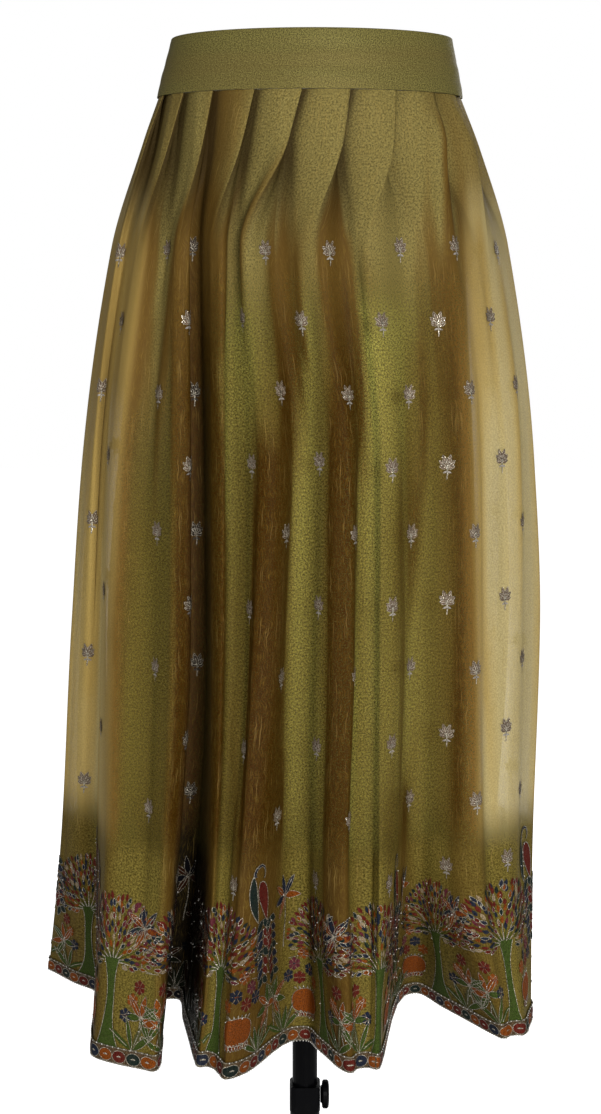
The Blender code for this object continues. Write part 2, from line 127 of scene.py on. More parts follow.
ROUND_ROOM = 0.4  # most of the way to a neighbour that half a round may take
SideSeam = namedtuple("SideSeam", "name seam x y")
LEFT_SEAM = SideSeam("left", -89, (-202, -236, -251, -270, -297), (0, 2, 6, 46, 130))
RIGHT_SEAM = SideSeam("right", 87, (213, 243, 252, 247, 245), (0, -2, -3, -8, -34))
STEPS = 5  # columns between two lines of the cloth

# How far the organza hides what is behind it at the six lines of a fold, for its upper and its lower half:
# at 0 it lies close on the lining, at 1 it stands away from it in some painted shade, above 1 in deep painted
# shade
Cover = namedtuple("Cover", "fold approach ridge_in ridge_out valley_in valley_out leave")
UPPER_COVERS = (
    Cover("left_side", 0.55, 0.7, 0.75, 0.7, 0.6, 0.5),
    Cover("left_front", 0.6, 0.75, 0.8, 0.45, 0.12, 0.1),
    Cover("left_deep", 0.25, 0.7, 1.0, 1.3, 1.4, 1.25),
    Cover("left_of_middle", 1.1, 0.75, 0.5, 0.3, 0.35, 0.25),
    Cover("middle", 0.1, 0.0, 0.0, 0.45, 0.75, 0.55),
    Cover("right_of_middle", 0.1, 0.25, 0.85, 0.95, 0.35, 0.05),
    Cover("right_deep", 0.0, 0.0, 0.0, 0.0, 0.05, 0.3),
    Cover("right_front", 0.45, 0.58, 0.6, 0.6, 0.58, 0.55),
    Cover("right_side", 0.6, 0.35, 0.25, 0.2, 0.2, 0.3),
)
LOWER_COVERS = (
    Cover("left_side", 0.45, 0.52, 0.55, 0.48, 0.45, 0.42),
    Cover("left_front", 0.42, 0.52, 0.58, 0.25, 0.05, 0.05),
    Cover("left_deep", 0.1, 0.55, 1.35, 1.55, 1.55, 1.45),
    Cover("left_of_middle", 1.35, 1.15, 0.75, 0.15, 0.05, 0.2),
    Cover("middle", 0.65, 1.15, 1.1, 0.3, 0.0, 0.0),
    Cover("right_of_middle", 0.45, 1.15, 1.05, 0.3, 0.0, 0.0),
    Cover("right_deep", 0.0, 0.12, 0.4, 0.5, 0.35, 0.3),
    Cover("right_front", 0.42, 0.58, 0.56, 0.45, 0.2, 0.05),
    Cover("right_side", 0.05, 0.15, 0.15, 0.1, 0.15, 0.3),
)
CREASE_COVER = 0.15  # for each millimetre that a crease stands up
SEAM_COVER = 0.5  # at the side seams
SHADED_SILK = (0.95, 1.45)  # covers over which the embroidery darkens
BACK_COVER = Cover("back", 0.35, 0.85, 0.95, 0.35, 0.05, 0.1)
BACK_SIDE_COVER = Cover("back side", 0.25, 0.35, 0.4, 0.25, 0.15, 0.2)
PLEAT_SHADE_REACH = 6 * MM
PRESSED_FLAT = {"right_deep": 0.35, "right_front": 0.5}  # pleats with a weaker shade under their edge

LiningRow = namedtuple("LiningRow", "z cx a front back wave")
LINING = (
    LiningRow(Z_SEAM, 0.005, 0.1522, 0.1082, 0.1082, 0.0),
    LiningRow(1.290, 0.003, 0.1600, 0.1120, 0.1120, 0.0008),
    LiningRow(1.200, 0.000, 0.1660, 0.1160, 0.1160, 0.0015),
    LiningRow(0.980, -0.008, 0.1860, 0.0980, 0.1200, 0.0025),
    LiningRow(0.800, -0.012, 0.1950, 0.0850, 0.1200, 0.0040),
    LiningRow(Z_LINING_HEM, -0.012, 0.2000, 0.0640, 0.1200, 0.0060),
)
LINING_WAVES = 9


# The cloth's lines in plan


def oval_point(oval, degrees, inset=0.0):
    t = math.radians(degrees)
    x, y = oval.a * math.sin(t), -oval.b * math.cos(t)
    length = math.hypot(x, y)
    return (oval.cx + x * (length - inset) / length, y * (length - inset) / length)


def mix(p, q, share):
    return (p[0] + (q[0] - p[0]) * share, p[1] + (q[1] - p[1]) * share)


def row_at(rows, z):
    """The row of a table at a height between its rows."""
    rows = sorted(rows, key=lambda row: row.z)
    z = min(max(z, rows[0].z), rows[-1].z)
    for low, high in zip(rows, rows[1:]):
        if z <= high.z:
            share = (z - low.z) / (high.z - low.z)
            return type(low)(*(a + (b - a) * share for a, b in zip(low, high)))
    return rows[-1]


def pleat_points(oval, pleat, edge):
    under, pitch = edge - pleat.lap, pleat.pitch
    return [
        oval_point(oval, under - pleat.lead, 0),
        oval_point(oval, edge, 0),
        oval_point(oval, edge, pitch),
        oval_point(oval, under, pitch + pleat.slant),
        oval_point(oval, under, 2 * pitch + pleat.slant),
        oval_point(oval, edge + pleat.lead / 2, 2 * pitch + pleat.slant),
    ]


def yoke_edge(seam, x, y):
    hip = math.degrees(math.atan2((x * MM - HIP.cx) / HIP.a, -y * MM / HIP.b))
    while hip < seam - 180:
        hip += 360
    return seam + (hip - seam) * YOKE_SHARE


def pair(centre, before, after, half):
    """Two points astride a ridge or a valley, along the way from one neighbour to the other."""
    dx, dy = after[0] - before[0], after[1] - before[1]
    length = math.hypot(dx, dy)
    room = min(half, ROUND_ROOM * math.dist(centre, before), ROUND_ROOM * math.dist(centre, after))
    step = (dx / length * room, dy / length * room)
    return (centre[0] - step[0], centre[1] - step[1]), (centre[0] + step[0], centre[1] + step[1])


def fold_lines():
    """Every line of the cloth from seam to hem, as (line, station, xy), and where each fold starts."""
    order = [LEFT_SEAM, *FRONT_FOLDS, RIGHT_SEAM, *BACK_FOLDS]
    stations = []
    for s in range(len(RIDGE_HALF)):
        marks = []
        for item in order:
            if isinstance(item, Fold):
                ridge = (item.ridge_x[s] * MM, item.ridge_y[s] * MM)
                marks.append((ridge, (item.valley_x[s] * MM, item.valley_y[s] * MM)))
            else:
                marks.append(((item.x[s] * MM, item.y[s] * MM), None))
        shoulders = []
        for i, (ridge, valley) in enumerate(marks):
            if valley is None:
                shoulders.append([ridge])
                continue
            before = marks[i - 1][1] or marks[i - 1][0]
            after = marks[(i + 1) % len(order)][0]
            ridge_pair = pair(ridge, before, valley, RIDGE_HALF[s] * MM)
            shoulders.append([*ridge_pair, *pair(valley, ridge, after, VALLEY_HALF[s] * MM)])
        lines = []
        for i, points in enumerate(shoulders):
            if len(points) == 1:
                lines.append(points[0])
                continue
            before, after = shoulders[i - 1], shoulders[(i + 1) % len(order)]
            share_in = 0.5 if len(before) == 1 else 0.66
            share_out = 0.5 if len(after) == 1 else 0.34
            lines += [mix(before[-1], points[0], share_in), *points, mix(points[-1], after[0], share_out)]
        stations.append(lines)
    top, yoke, starts = [], [], {}
    for item in order:
        starts[item.name] = len(top)
        if isinstance(item, Fold):
            top += pleat_points(WAIST_SEAM, PRESSED, item.seam)
            yoke += pleat_points(YOKE, OPENING, yoke_edge(item.seam, item.ridge_x[0], item.ridge_y[0]))
        else:
            top.append(oval_point(WAIST_SEAM, item.seam, PRESSED.pitch))
            yoke.append(oval_point(YOKE, yoke_edge(item.seam, item.x[0], item.y[0]), OPENING.pitch))
    return np.array([top, yoke, *stations]).transpose(1, 0, 2), starts


def tracked(lines, heights):
    """The lines at any heights, smooth and never overshooting: (row, line, xy)."""
    drop = -STATIONS
    width = np.diff(drop)
    slopes = np.diff(lines, axis=1) / width[None, :, None]
    before, after = slopes[:, :-1], slopes[:, 1:]
    same = before * after > 0
    total = np.where(same, before + after, 1.0)
    inner = np.where(same, 2 * before * after / total, 0.0)
    tangents = np.concatenate([slopes[:, :1], inner, slopes[:, -1:]], axis=1)
    at = np.clip(-heights, drop[0], drop[-1])
    i = np.clip(np.searchsorted(drop, at, side="right") - 1, 0, len(width) - 1)
    s = ((at - drop[i]) / width[i])[None, :, None]
    w = width[i][None, :, None]
    found = (
        lines[:, i] * (1 + 2 * s) * (1 - s) ** 2
        + tangents[:, i] * w * s * (1 - s) ** 2
        + lines[:, i + 1] * s * s * (3 - 2 * s)
        + tangents[:, i + 1] * w * s * s * (s - 1)
    )
    return found.transpose(1, 0, 2)


def rounded(marks, heights):
    """Columns between the lines, as (row, column, xy): straight in the pleats, round from the hip down."""
    p0, p1, p2, p3 = (np.roll(marks, shift, axis=1) for shift in (1, 0, -1, -2))
    chords = [np.linalg.norm(b - a, axis=2, keepdims=True) for a, b in ((p0, p1), (p1, p2), (p2, p3))]
    gaps = [np.maximum(chord, 1e-6) ** 0.5 for chord in chords]
    t0 = np.zeros_like(gaps[0])
    t1 = t0 + gaps[0]
    t2 = t1 + gaps[1]
    t3 = t2 + gaps[2]
    opened = np.clip((YOKE.z - heights) / (YOKE.z - HIP.z), 0, 1)
    opened = (opened * opened * (3 - 2 * opened))[:, None, None]
    columns = []
    for k in range(STEPS):
        share = k / STEPS
        t = t1 + (t2 - t1) * share

        def between(a, b, low, high):
            return a + (b - a) * (t - low) / (high - low)

        a1, a2, a3 = between(p0, p1, t0, t1), between(p1, p2, t1, t2), between(p2, p3, t2, t3)
        curve = between(between(a1, a2, t0, t2), between(a2, a3, t1, t3), t1, t2)
        straight = p1 + (p2 - p1) * share
        columns.append(straight + (curve - straight) * opened)
    return np.stack(columns, axis=2).reshape(len(heights), -1, 2)


def plan_normals(rings):
    """Outward unit directions in plan of closed counter-clockwise rings."""
    along = np.roll(rings, -1, axis=1) - np.roll(rings, 1, axis=1)
    out = np.stack([along[..., 1], -along[..., 0]], axis=2)
    return out / np.maximum(np.linalg.norm(out, axis=2, keepdims=True), 1e-9)


def smooth(value, low, high):
    share = np.clip((value - low) / (high - low), 0, 1)
    return share * share * (3 - 2 * share)


def walked(rings):
    """Length walked round each ring up to each column, with the whole girth as the last value."""
    steps = np.linalg.norm(np.roll(rings, -1, axis=1) - rings, axis=2)
    return np.concatenate([np.zeros((len(rings), 1)), np.cumsum(steps, axis=1)], axis=1)


# Creases between the main folds. They start `across` mm to the right of a fold's ridge, run down from `top`
# to `foot` and end `drift` mm further to the right; a trough is negative
Crease = namedtuple("Crease", "fold across top foot drift depth width")
CREASES = (
    Crease("left_side", 22, 1.20, 0.72, -8, 3.0, 9),
    Crease("left_side", 30, 0.92, 0.45, 6, -2.6, 8),
    Crease("left_front", 44, 1.31, 1.12, -16, -2.2, 7),
    Crease("left_front", 58, 1.24, 0.86, -10, 2.4, 9),
    Crease("left_front", 50, 0.80, 0.46, 8, -3.0, 10),
    Crease("left_deep", 14, 1.26, 1.02, -8, -1.8, 6),
    Crease("left_of_middle", 18, 1.30, 1.08, -12, 2.6, 7),
    Crease("left_of_middle", 30, 1.18, 0.92, -9, -2.4, 7),
    Crease("left_of_middle", 34, 0.78, 0.44, 5, 2.0, 8),
    Crease("middle", -2, 1.31, 1.09, -13, 3.2, 6),
    Crease("middle", -15, 1.31, 1.15, -8, -2.8, 5),
    Crease("middle", 16, 1.28, 1.10, -14, -2.6, 6),
    Crease("middle", 34, 1.20, 0.70, -12, 2.6, 10),
    Crease("middle", 62, 1.10, 0.62, 14, -2.2, 9),
    Crease("middle", 48, 0.70, 0.44, -6, 2.4, 8),
    Crease("right_of_middle", -12, 1.25, 1.07, -18, 2.6, 7),
    Crease("right_of_middle", 48, 1.23, 1.09, 22, 2.2, 7),
    Crease("right_of_middle", 26, 1.33, 1.16, 8, -1.6, 8),
    Crease("right_of_middle", 40, 1.25, 0.96, -22, 2.4, 8),
    Crease("right_of_middle", 22, 0.90, 0.52, 6, -2.0, 8),
    Crease("right_deep", 30, 1.30, 1.10, 24, -2.0, 8),
    Crease("right_deep", 52, 1.22, 0.80, 16, 2.8, 9),
    Crease("right_deep", 70, 1.05, 0.60, -10, -2.4, 9),
    Crease("right_deep", 64, 0.66, 0.44, 8, 2.6, 10),
    Crease("right_front", -3, 1.335, 1.20, 6, 2.6, 4),
    Crease("right_front", -12, 1.33, 1.17, 4, -2.2, 5),
    Crease("right_front", 10, 1.30, 1.14, 8, -1.8, 6),
    Crease("right_front", 26, 1.12, 0.76, -4, 2.0, 7),
    Crease("right_front", 30, 0.74, 0.44, 6, -2.2, 8),
    Crease("right_side", 20, 1.20, 0.80, -6, 2.2, 8),
)


def back_creases():
    """Creases for the back, as uneven as the front's."""
    draw = random.Random(41)
    made = []
    for fold in BACK_FOLDS:
        for top, foot in ((1.31, 1.12), (1.20, 0.84), (0.86, 0.45)):
            made.append(Crease(
                fold.name, draw.uniform(18, 62),
                top + draw.uniform(-0.03, 0.02), foot + draw.uniform(-0.04, 0.06), draw.uniform(-16, 16),
                draw.choice((-1, 1)) * draw.uniform(1.6, 3.0), draw.uniform(6, 10)))
    return made


def crease_relief(rings, heights, starts):
    """How far the creases move each point out of the rings."""
    walk = walked(rings)
    girth = walk[:, -1:]
    relief = np.zeros(rings.shape[:2])
    for crease in (*CREASES, *back_creases()):
        ridge = starts[crease.fold] * STEPS + 3 * STEPS // 2
        share = np.clip((crease.top - heights) / (crease.top - crease.foot), 0, 1)
        middle = walk[:, ridge] + (crease.across + crease.drift * share) * MM
        away = walk[:, :-1] - middle[:, None]
        away = (away + girth / 2) % girth - girth / 2
        strength = np.sin(math.pi * share) ** 0.7 * crease.depth * MM
        relief += strength[:, None] * np.exp(-(away / (crease.width * MM)) ** 2)
    return relief


class Cloth:
    """The outer skirt's surface: points, outward directions and the way round it, by row and column."""

    def __init__(self):
        lines, starts = fold_lines()
        pleated = np.linspace(Z_SEAM, 1.244, 28)
        open_folds = np.linspace(1.240, Z_TRIM_TOP + 4 * MM, 122)
        trim = np.linspace(Z_TRIM_TOP, Z_HEM, 5)
        self.heights = np.concatenate([pleated, open_folds, trim])
        self.starts = starts
        rings = rounded(tracked(lines, self.heights), self.heights)
        self.relief = crease_relief(rings, self.heights, starts)
        rings = rings + plan_normals(rings) * self.relief[..., None]
        z = np.broadcast_to(self.heights[:, None, None], (*rings.shape[:2], 1))
        self.points = np.concatenate([rings, z], axis=2)
        self.columns = rings.shape[1]
        across = np.roll(self.points, -1, axis=1) - np.roll(self.points, 1, axis=1)
        down = np.gradient(self.points, axis=0)
        out = np.cross(down, across)
        self.out = out / np.maximum(np.linalg.norm(out, axis=2, keepdims=True), 1e-12)
        self.walk = walked(rings)
        steps = np.diff(self.walk[self.heights < HIP.z], axis=1).mean(axis=0)
        self.thread = self.thread_places(np.concatenate([[0.0], np.cumsum(steps)]))
        self.cover, self.shade = self.covers(), self.pleat_shade()

    def thread_places(self, open_cloth):
        """Place of each point across the cut cloth; in the pleats it counts from each pleat's own edge."""
        edges = np.array([self.starts[fold.name] + 1 for fold in (*FRONT_FOLDS, *BACK_FOLDS)]) * STEPS
        columns = np.arange(self.columns + 1)
        nearest = edges[np.minimum(np.searchsorted(edges + 2 * STEPS, columns), len(edges) - 1)]
        pleated = open_cloth[nearest] + self.walk - self.walk[:, nearest]
        share = smooth(self.heights, *THREAD_GATHER)[:, None]
        return open_cloth[None] * (1 - share) + pleated * share

    def eased(self, covers):
        """Cover at every column, eased from line to line."""
        values = np.zeros(self.columns // STEPS)
        for cover in covers:
            start = self.starts[cover.fold]
            values[start : start + 6] = cover[1:]
        for name in ("left", "right"):
            values[self.starts[name]] = SEAM_COVER
        share = smooth(np.arange(STEPS) / STEPS, 0, 1)
        return (values[:, None] * (1 - share) + np.roll(values, -1)[:, None] * share).ravel()

    def covers(self):
        """Cover at every point: the two tables, and what the creases add."""
        back = [
            (BACK_COVER if 2 <= k <= 6 else BACK_SIDE_COVER)._replace(fold=fold.name)
            for k, fold in enumerate(BACK_FOLDS)
        ]
        upper, lower = self.eased((*UPPER_COVERS, *back)), self.eased((*LOWER_COVERS, *back))
        share = smooth(self.heights, *COVER_CHANGE)[:, None]
        gathered = 1 - 0.65 * smooth(self.heights, *COVER_GATHER)[:, None]
        return (upper[None] * share + lower[None] * (1 - share)) * gathered + self.relief / MM * CREASE_COVER

    def pleat_shade(self):
        """The shade under each pleat's edge at every point."""
        shade = np.zeros(self.relief.shape)
        for fold in (*FRONT_FOLDS, *BACK_FOLDS):
            start = self.starts[fold.name]
            turned, leave = (start + 1) * STEPS + 1, (start + 5) * STEPS
            away = self.walk[:, :-1] - self.walk[:, leave : leave + 1]
            strength = PRESSED_FLAT.get(fold.name, 1.0)
            shade += strength * np.where(away > 0, np.exp(-away / PLEAT_SHADE_REACH), 0.0)
            shade[:, turned : leave + 1] = strength
        return shade

    def side(self, half):
        """First and last column of the front or the back panel."""
        left, right = self.starts["left"] * STEPS, self.starts["right"] * STEPS
        return (left, right) if half == "front" else (right, left + self.columns)

    def row_of(self, z):
        """Row, with its fraction, of a height."""
        return np.interp(-z, -self.heights, np.arange(len(self.heights)))

    def nearest_row(self, z):
        return int(round(float(self.row_of(np.array(z)))))

    def column_at(self, z, way):
        """Column, with its fraction, that lies `way` metres round the ring at a height."""
        walk = self.walk[self.nearest_row(z)]
        turns, rest = np.divmod(way, walk[-1])
        return np.interp(rest, walk, np.arange(len(walk))) + turns * self.columns

    def way_at(self, z, column):
        """How far round the ring at a height a column lies."""
        walk = self.walk[self.nearest_row(z)]
        turns, rest = divmod(column, self.columns)
        return float(np.interp(rest, np.arange(self.columns + 1), walk) + turns * walk[-1])

    def at(self, z, column, lift):
        """Points `lift` above the cloth."""
        row = np.clip(self.row_of(z), 0, len(self.heights) - 1.001)
        r, c = np.floor(row).astype(int), np.floor(column).astype(int)
        fr, fc = (row - r)[:, None], (column - c)[:, None]
        c0, c1 = c % self.columns, (c + 1) % self.columns
        found = []
        for grid in (self.points, self.out):
            top = grid[r, c0] * (1 - fc) + grid[r, c1] * fc
            foot = grid[r + 1, c0] * (1 - fc) + grid[r + 1, c1] * fc
            found.append(top * (1 - fr) + foot * fr)
        return found[0] + found[1] * lift[:, None]

    def laid(self, flat, way, z, z_measure):
        """Flat points laid on the cloth round a place, its way measured at z_measure, and their shade."""
        column = self.column_at(z_measure, way + flat[:, 0])
        cover = self.cover[self.nearest_row(z)][column.astype(int) % self.columns]
        shade = smooth(cover, *SHADED_SILK)
        return self.at(z + flat[:, 1], column, flat[:, 2]), shade


# Materials


def put(tree, kind, inputs=None, **settings):
    made = tree.nodes.new(kind)
    for key, value in settings.items():
        setattr(made, key, value)
    for socket, value in (inputs or {}).items():
        if isinstance(value, bpy.types.NodeSocket):
            tree.links.new(value, made.inputs[socket])
        else:
            made.inputs[socket].default_value = value
    return made


def maths(tree, operation, a, b=0.0, clamp=False):
    return put(tree, "ShaderNodeMath", {0: a, 1: b}, operation=operation, use_clamp=clamp).outputs[0]


def ranged(tree, value, low, high, to_low=0.0, to_high=1.0):
    inputs = {"Value": value, "From Min": low, "From Max": high, "To Min": to_low, "To Max": to_high}
    return put(tree, "ShaderNodeMapRange", inputs, interpolation_type="SMOOTHSTEP").outputs["Result"]


def tint(tree, share, a, b):
    """Colour between a and b."""
    made = put(tree, "ShaderNodeMix", {0: share}, data_type="RGBA", blend_type="MIX")
    for index, colour in ((6, a), (7, b)):
        if isinstance(colour, bpy.types.NodeSocket):
            tree.links.new(colour, made.inputs[index])
        else:
            made.inputs[index].default_value = (*colour, 1.0)
    return made.outputs[2]


def finer(tree, place, times):
    """A place on the cloth with its threads drawn `times` finer."""
    return put(tree, "ShaderNodeMapping", {"Vector": place, "Scale": (times, times, times)}).outputs[0]


def noise(tree, place, scale, detail=2.0, roughness=0.5):
    stretched = put(tree, "ShaderNodeMapping", {"Vector": place, "Scale": scale})
    inputs = {"Vector": stretched.outputs[0], "Scale": 1.0, "Detail": detail, "Roughness": roughness}
    return put(tree, "ShaderNodeTexNoise", inputs).outputs[0]


def attribute(tree, name):
    return put(tree, "ShaderNodeAttribute", attribute_name=name)


def own_place(tree):
    """A place on an object, in its own metres."""
    return put(tree, "ShaderNodeTexCoord").outputs["Object"]


def shared(tree, effect_tree, place):
    """The outputs of a shared effect, laid out from a place."""
    return put(tree, "ShaderNodeGroup", {"Place": place}, node_tree=effect_tree).outputs


def grained(tree, share, colour, low, high):
    """A colour from `low` to `high` times itself."""
    return tint(tree, share, tuple(low * c for c in colour), tuple(high * c for c in colour))


def effect(name, outs):
    """An empty shader group that takes a place and puts out named values."""
    tree = bpy.data.node_groups.new(name, "ShaderNodeTree")
    tree.interface.new_socket(name="Place", in_out="INPUT", socket_type="NodeSocketVector")
    for label in outs:
        tree.interface.new_socket(name=label, in_out="OUTPUT", socket_type="NodeSocketFloat")
    return tree, tree.nodes.new("NodeGroupInput"), tree.nodes.new("NodeGroupOutput")


def woven_effect():
    """Threads of the cloth: fine grain, long slubs, slack threads, cloudiness and lines of warp."""
    tree, source, sink = effect("woven threads", ["Grain", "Slub", "Stray", "Cloud", "Warp"])
    place = source.outputs["Place"]
    sway = put(tree, "ShaderNodeTexNoise", {"Vector": place, "Scale": 60.0, "Detail": 1.0}).outputs["Color"]
    off = put(tree, "ShaderNodeVectorMath", {0: sway, 1: (0.5, 0.5, 0.5)}, operation="SUBTRACT").outputs[0]

    def swayed(reach):
        inputs = {0: off, 1: (reach, 0.0, 0.0), 2: place}
        return put(tree, "ShaderNodeVectorMath", inputs, operation="MULTIPLY_ADD").outputs[0]

    grain = noise(tree, place, (520, 480, 1), 2.0, 0.8)
    slub = noise(tree, swayed(0.014), (1050, 85, 1), 3.0, 0.7)
    stray = noise(tree, swayed(0.005), (980, 20, 1), 1.0, 0.4)
    cloud = noise(tree, place, (26, 2.2, 1), 2.0, 0.5)
    warp = noise(tree, place, (300, 3, 1), 1.0, 0.5)
    for label, value in (
        ("Grain", ranged(tree, grain, 0.30, 0.70)), ("Slub", ranged(tree, slub, 0.46, 0.74)),
        ("Stray", ranged(tree, stray, 0.655, 0.72)), ("Cloud", ranged(tree, cloud, 0.25, 0.75)),
        ("Warp", ranged(tree, warp, 0.30, 0.70)),
    ):
        tree.links.new(value, sink.inputs[label])
    return tree


def stitched_effect():
    """Rows of laid silk stitches from a place in metres, and how worn their tops are."""
    tree, source, sink = effect("laid stitches", ["Height", "Patch"])
    place = source.outputs["Place"]
    rows = noise(tree, place, (900, 2600, 900), 1.0, 0.4)
    patch = noise(tree, place, (420, 420, 420), 2.0, 0.6)
    tree.links.new(ranged(tree, rows, 0.35, 0.65), sink.inputs["Height"])
    tree.links.new(ranged(tree, patch, 0.30, 0.70), sink.inputs["Patch"])
    return tree


def worn_effect():
    """Dust and rubbed patches on the stand, from the object's own place."""
    tree, source, sink = effect("rubbed and dusty", ["Rub", "Dust", "Fine"])
    place = source.outputs["Place"]
    marks = ("Rub", 24, 0.52, 0.75), ("Dust", 90, 0.50, 0.72), ("Fine", 900, 0.2, 0.8)
    for label, scale, low, high in marks:
        value = noise(tree, place, (scale, scale, scale * 0.6), 3.0, 0.6)
        tree.links.new(ranged(tree, value, low, high), sink.inputs[label])
    return tree


def new_material(name, roughness, metallic=0.0, specular=0.35):
    material = bpy.data.materials.new(name)
    material.use_nodes = True
    tree = material.node_tree
    surface = tree.nodes["Principled BSDF"]
    surface.inputs["Roughness"].default_value = roughness
    surface.inputs["Metallic"].default_value = metallic
    surface.inputs["Specular IOR Level"].default_value = specular
    return material, tree, surface


def bump(tree, surface, height, distance, strength=1.0):
    made = put(tree, "ShaderNodeBump", {"Height": height, "Distance": distance, "Strength": strength})
    tree.links.new(made.outputs[0], surface.inputs["Normal"])


# Colours, linear. A pair is the dark and the light of a grain
ORGANZA_OPEN = (0.170, 0.112, 0.022)  # close on the lining
# Partly painted shade: the doubled organza's own brown, darkened further for the shadowed lining behind it
ORGANZA_DOUBLED_AND_SHADED = (0.042, 0.0165, 0.001)  # folded on itself, away from the lining
ORGANZA_SHADE = (0.055, 0.025, 0.008)
# Painted glow: past the lining's side the organza is coloured brighter than its own colour, for light shining
# through it
ORGANZA_SHEER_PAINTED_GLOW = (0.520, 0.420, 0.190)  # with nothing behind it
ORGANZA_FRINGE_PAINTED_GLOW = (0.420, 0.290, 0.085)
ORGANZA_EDGE = (0.150, 0.082, 0.018)  # just past the lining's side
ORGANZA_THREAD = (0.340, 0.225, 0.040)
ORGANZA_STRAY = (0.400, 0.270, 0.080)
ORGANZA_GATHERED = (0.190, 0.150, 0.046)
ORGANZA_BROWNED = (0.110, 0.060, 0.012)
PLEAT_SHADE = (0.022, 0.012, 0.004)
BORDER_GROUND = (0.036, 0.025, 0.004), (0.215, 0.168, 0.034)
# Partly painted shade, as for the doubled organza
BORDER_DOUBLED_AND_SHADED = (0.075, 0.036, 0.006)
BORDER_SHADE = (0.010, 0.007, 0.004)
LINING_GREEN = (0.325, 0.318, 0.070)
LINING_GOLD = (0.300, 0.220, 0.070)
BAND_GROUND = (0.030, 0.024, 0.007), (0.245, 0.214, 0.060)
BAND_BROWN = (0.140, 0.090, 0.028)
BAND_THREAD = (0.340, 0.280, 0.110)
# Painted highlight: a pale line on the back strip by the front strip's end
BAND_PAINTED_HIGHLIGHT_EDGE = (0.800, 0.780, 0.680)
TRIM_GROUND = (0.020, 0.011, 0.005), (0.120, 0.070, 0.032)
TRIM_THREAD = (0.360, 0.280, 0.160)
SILK_WORN = (0.220, 0.170, 0.100)
SILK_SHADE = (0.004, 0.003, 0.003)
SILVER = (0.110, 0.090, 0.060), (0.520, 0.470, 0.370)
TARNISHED_SILVER = (0.050, 0.040, 0.025), (0.300, 0.260, 0.180)
# Near white: the clear beads carry painted glints in their colour
BEAD_WITH_PAINTED_GLINT = (0.450, 0.420, 0.360), (0.900, 0.880, 0.840)
JERSEY = (0.440, 0.400, 0.330), (0.600, 0.550, 0.460)
STAND_BLACK = (0.0015, 0.0015, 0.0020)
STAND_DUST = (0.012, 0.012, 0.011)
STAND_RUBBED = (0.006, 0.006, 0.006)


def organza(woven):
    material, tree, surface = new_material("sheer golden organza", 0.5, 0.0, 0.03)
    threads = shared(tree, woven, attribute(tree, "cut").outputs["Vector"])
    cover, border, gather, shade, sheer = (
        attribute(tree, name).outputs["Fac"] for name in ("cover", "border", "gather", "shade", "sheer"))
    cloudy = maths(tree, "ADD", cover, ranged(tree, threads["Cloud"], 0.0, 1.0, -0.09, 0.11))

    open_ways = grained(tree, threads["Grain"], ORGANZA_OPEN, 0.45, 1.55)
    # Where the organza stands away from the lining: doubled brown with painted shade
    body = tint(tree, ranged(tree, cloudy, 0.12, 0.74), open_ways, ORGANZA_DOUBLED_AND_SHADED)
    # Past the lining's side, a painted glow of light shining through the bare organza
    glow = tint(tree, ranged(tree, cloudy, 0.15, 0.6), ORGANZA_SHEER_PAINTED_GLOW, ORGANZA_FRINGE_PAINTED_GLOW)
    glow = tint(tree, ranged(tree, cloudy, 0.7, 1.2), glow, ORGANZA_DOUBLED_AND_SHADED)
    glow = tint(tree, ranged(tree, sheer, 0.45, 1.0), ORGANZA_EDGE, glow)
    body = tint(tree, ranged(tree, sheer, 0.0, 0.5), body, glow)

    olive = grained(tree, threads["Grain"], ORGANZA_GATHERED, 0.50, 1.50)
    olive = tint(tree, ranged(tree, cloudy, 0.05, 0.62), olive, ORGANZA_BROWNED)
    body = tint(tree, maths(tree, "MULTIPLY", gather, ranged(tree, sheer, 0.0, 1.0, 1.0, 0.35)), body, olive)
    ground = tint(tree, threads["Grain"], *BORDER_GROUND)
    # and the border's doubled brown, with painted shade
    ground = tint(tree, ranged(tree, cloudy, 0.1, 0.95, 0.0, 0.9), ground, BORDER_DOUBLED_AND_SHADED)
    body = tint(tree, border, body, ground)

    body = tint(tree, ranged(tree, cloudy, 1.05, 1.55), body, ORGANZA_SHADE)
    body = tint(tree, maths(tree, "MULTIPLY", border, ranged(tree, cloudy, 1.05, 1.5)), body, BORDER_SHADE)
    body = tint(tree, maths(tree, "MULTIPLY", threads["Slub"], 0.24), body, ORGANZA_THREAD)
    body = tint(tree, maths(tree, "MULTIPLY", threads["Stray"], 0.30), body, ORGANZA_STRAY)
    body = tint(tree, maths(tree, "MULTIPLY", shade, 0.85), body, PLEAT_SHADE)
    tree.links.new(body, surface.inputs["Base Color"])

    veil = maths(tree, "MULTIPLY", sheer, ranged(tree, cloudy, -0.1, 0.6, 0.60, 0.84))
    past_lining = maths(tree, "MULTIPLY", sheer, maths(tree, "SUBTRACT", 1.0, sheer))
    alpha = maths(tree, "MAXIMUM", ranged(tree, cloudy, 0.10, 0.76, 0.42, 0.95), ranged(tree, veil, 0.0, 1.0))
    alpha = maths(tree, "MAXIMUM", alpha, maths(tree, "MULTIPLY", past_lining, 3.4))
    alpha = maths(tree, "ADD", alpha, maths(tree, "MULTIPLY", threads["Slub"], 0.10), clamp=True)
    alpha = maths(tree, "ADD", alpha, ranged(tree, threads["Grain"], 0.0, 1.0, 0.12, -0.12), clamp=True)
    for thick in (border, gather):
        alpha = maths(tree, "MAXIMUM", alpha, thick)
    tree.links.new(alpha, surface.inputs["Alpha"])
    tree.links.new(maths(tree, "MULTIPLY", threads["Slub"], 0.35), surface.inputs["Metallic"])
    bump(tree, surface, maths(tree, "ADD", threads["Slub"], threads["Grain"]), 0.2 * MM, 0.6)
    return material


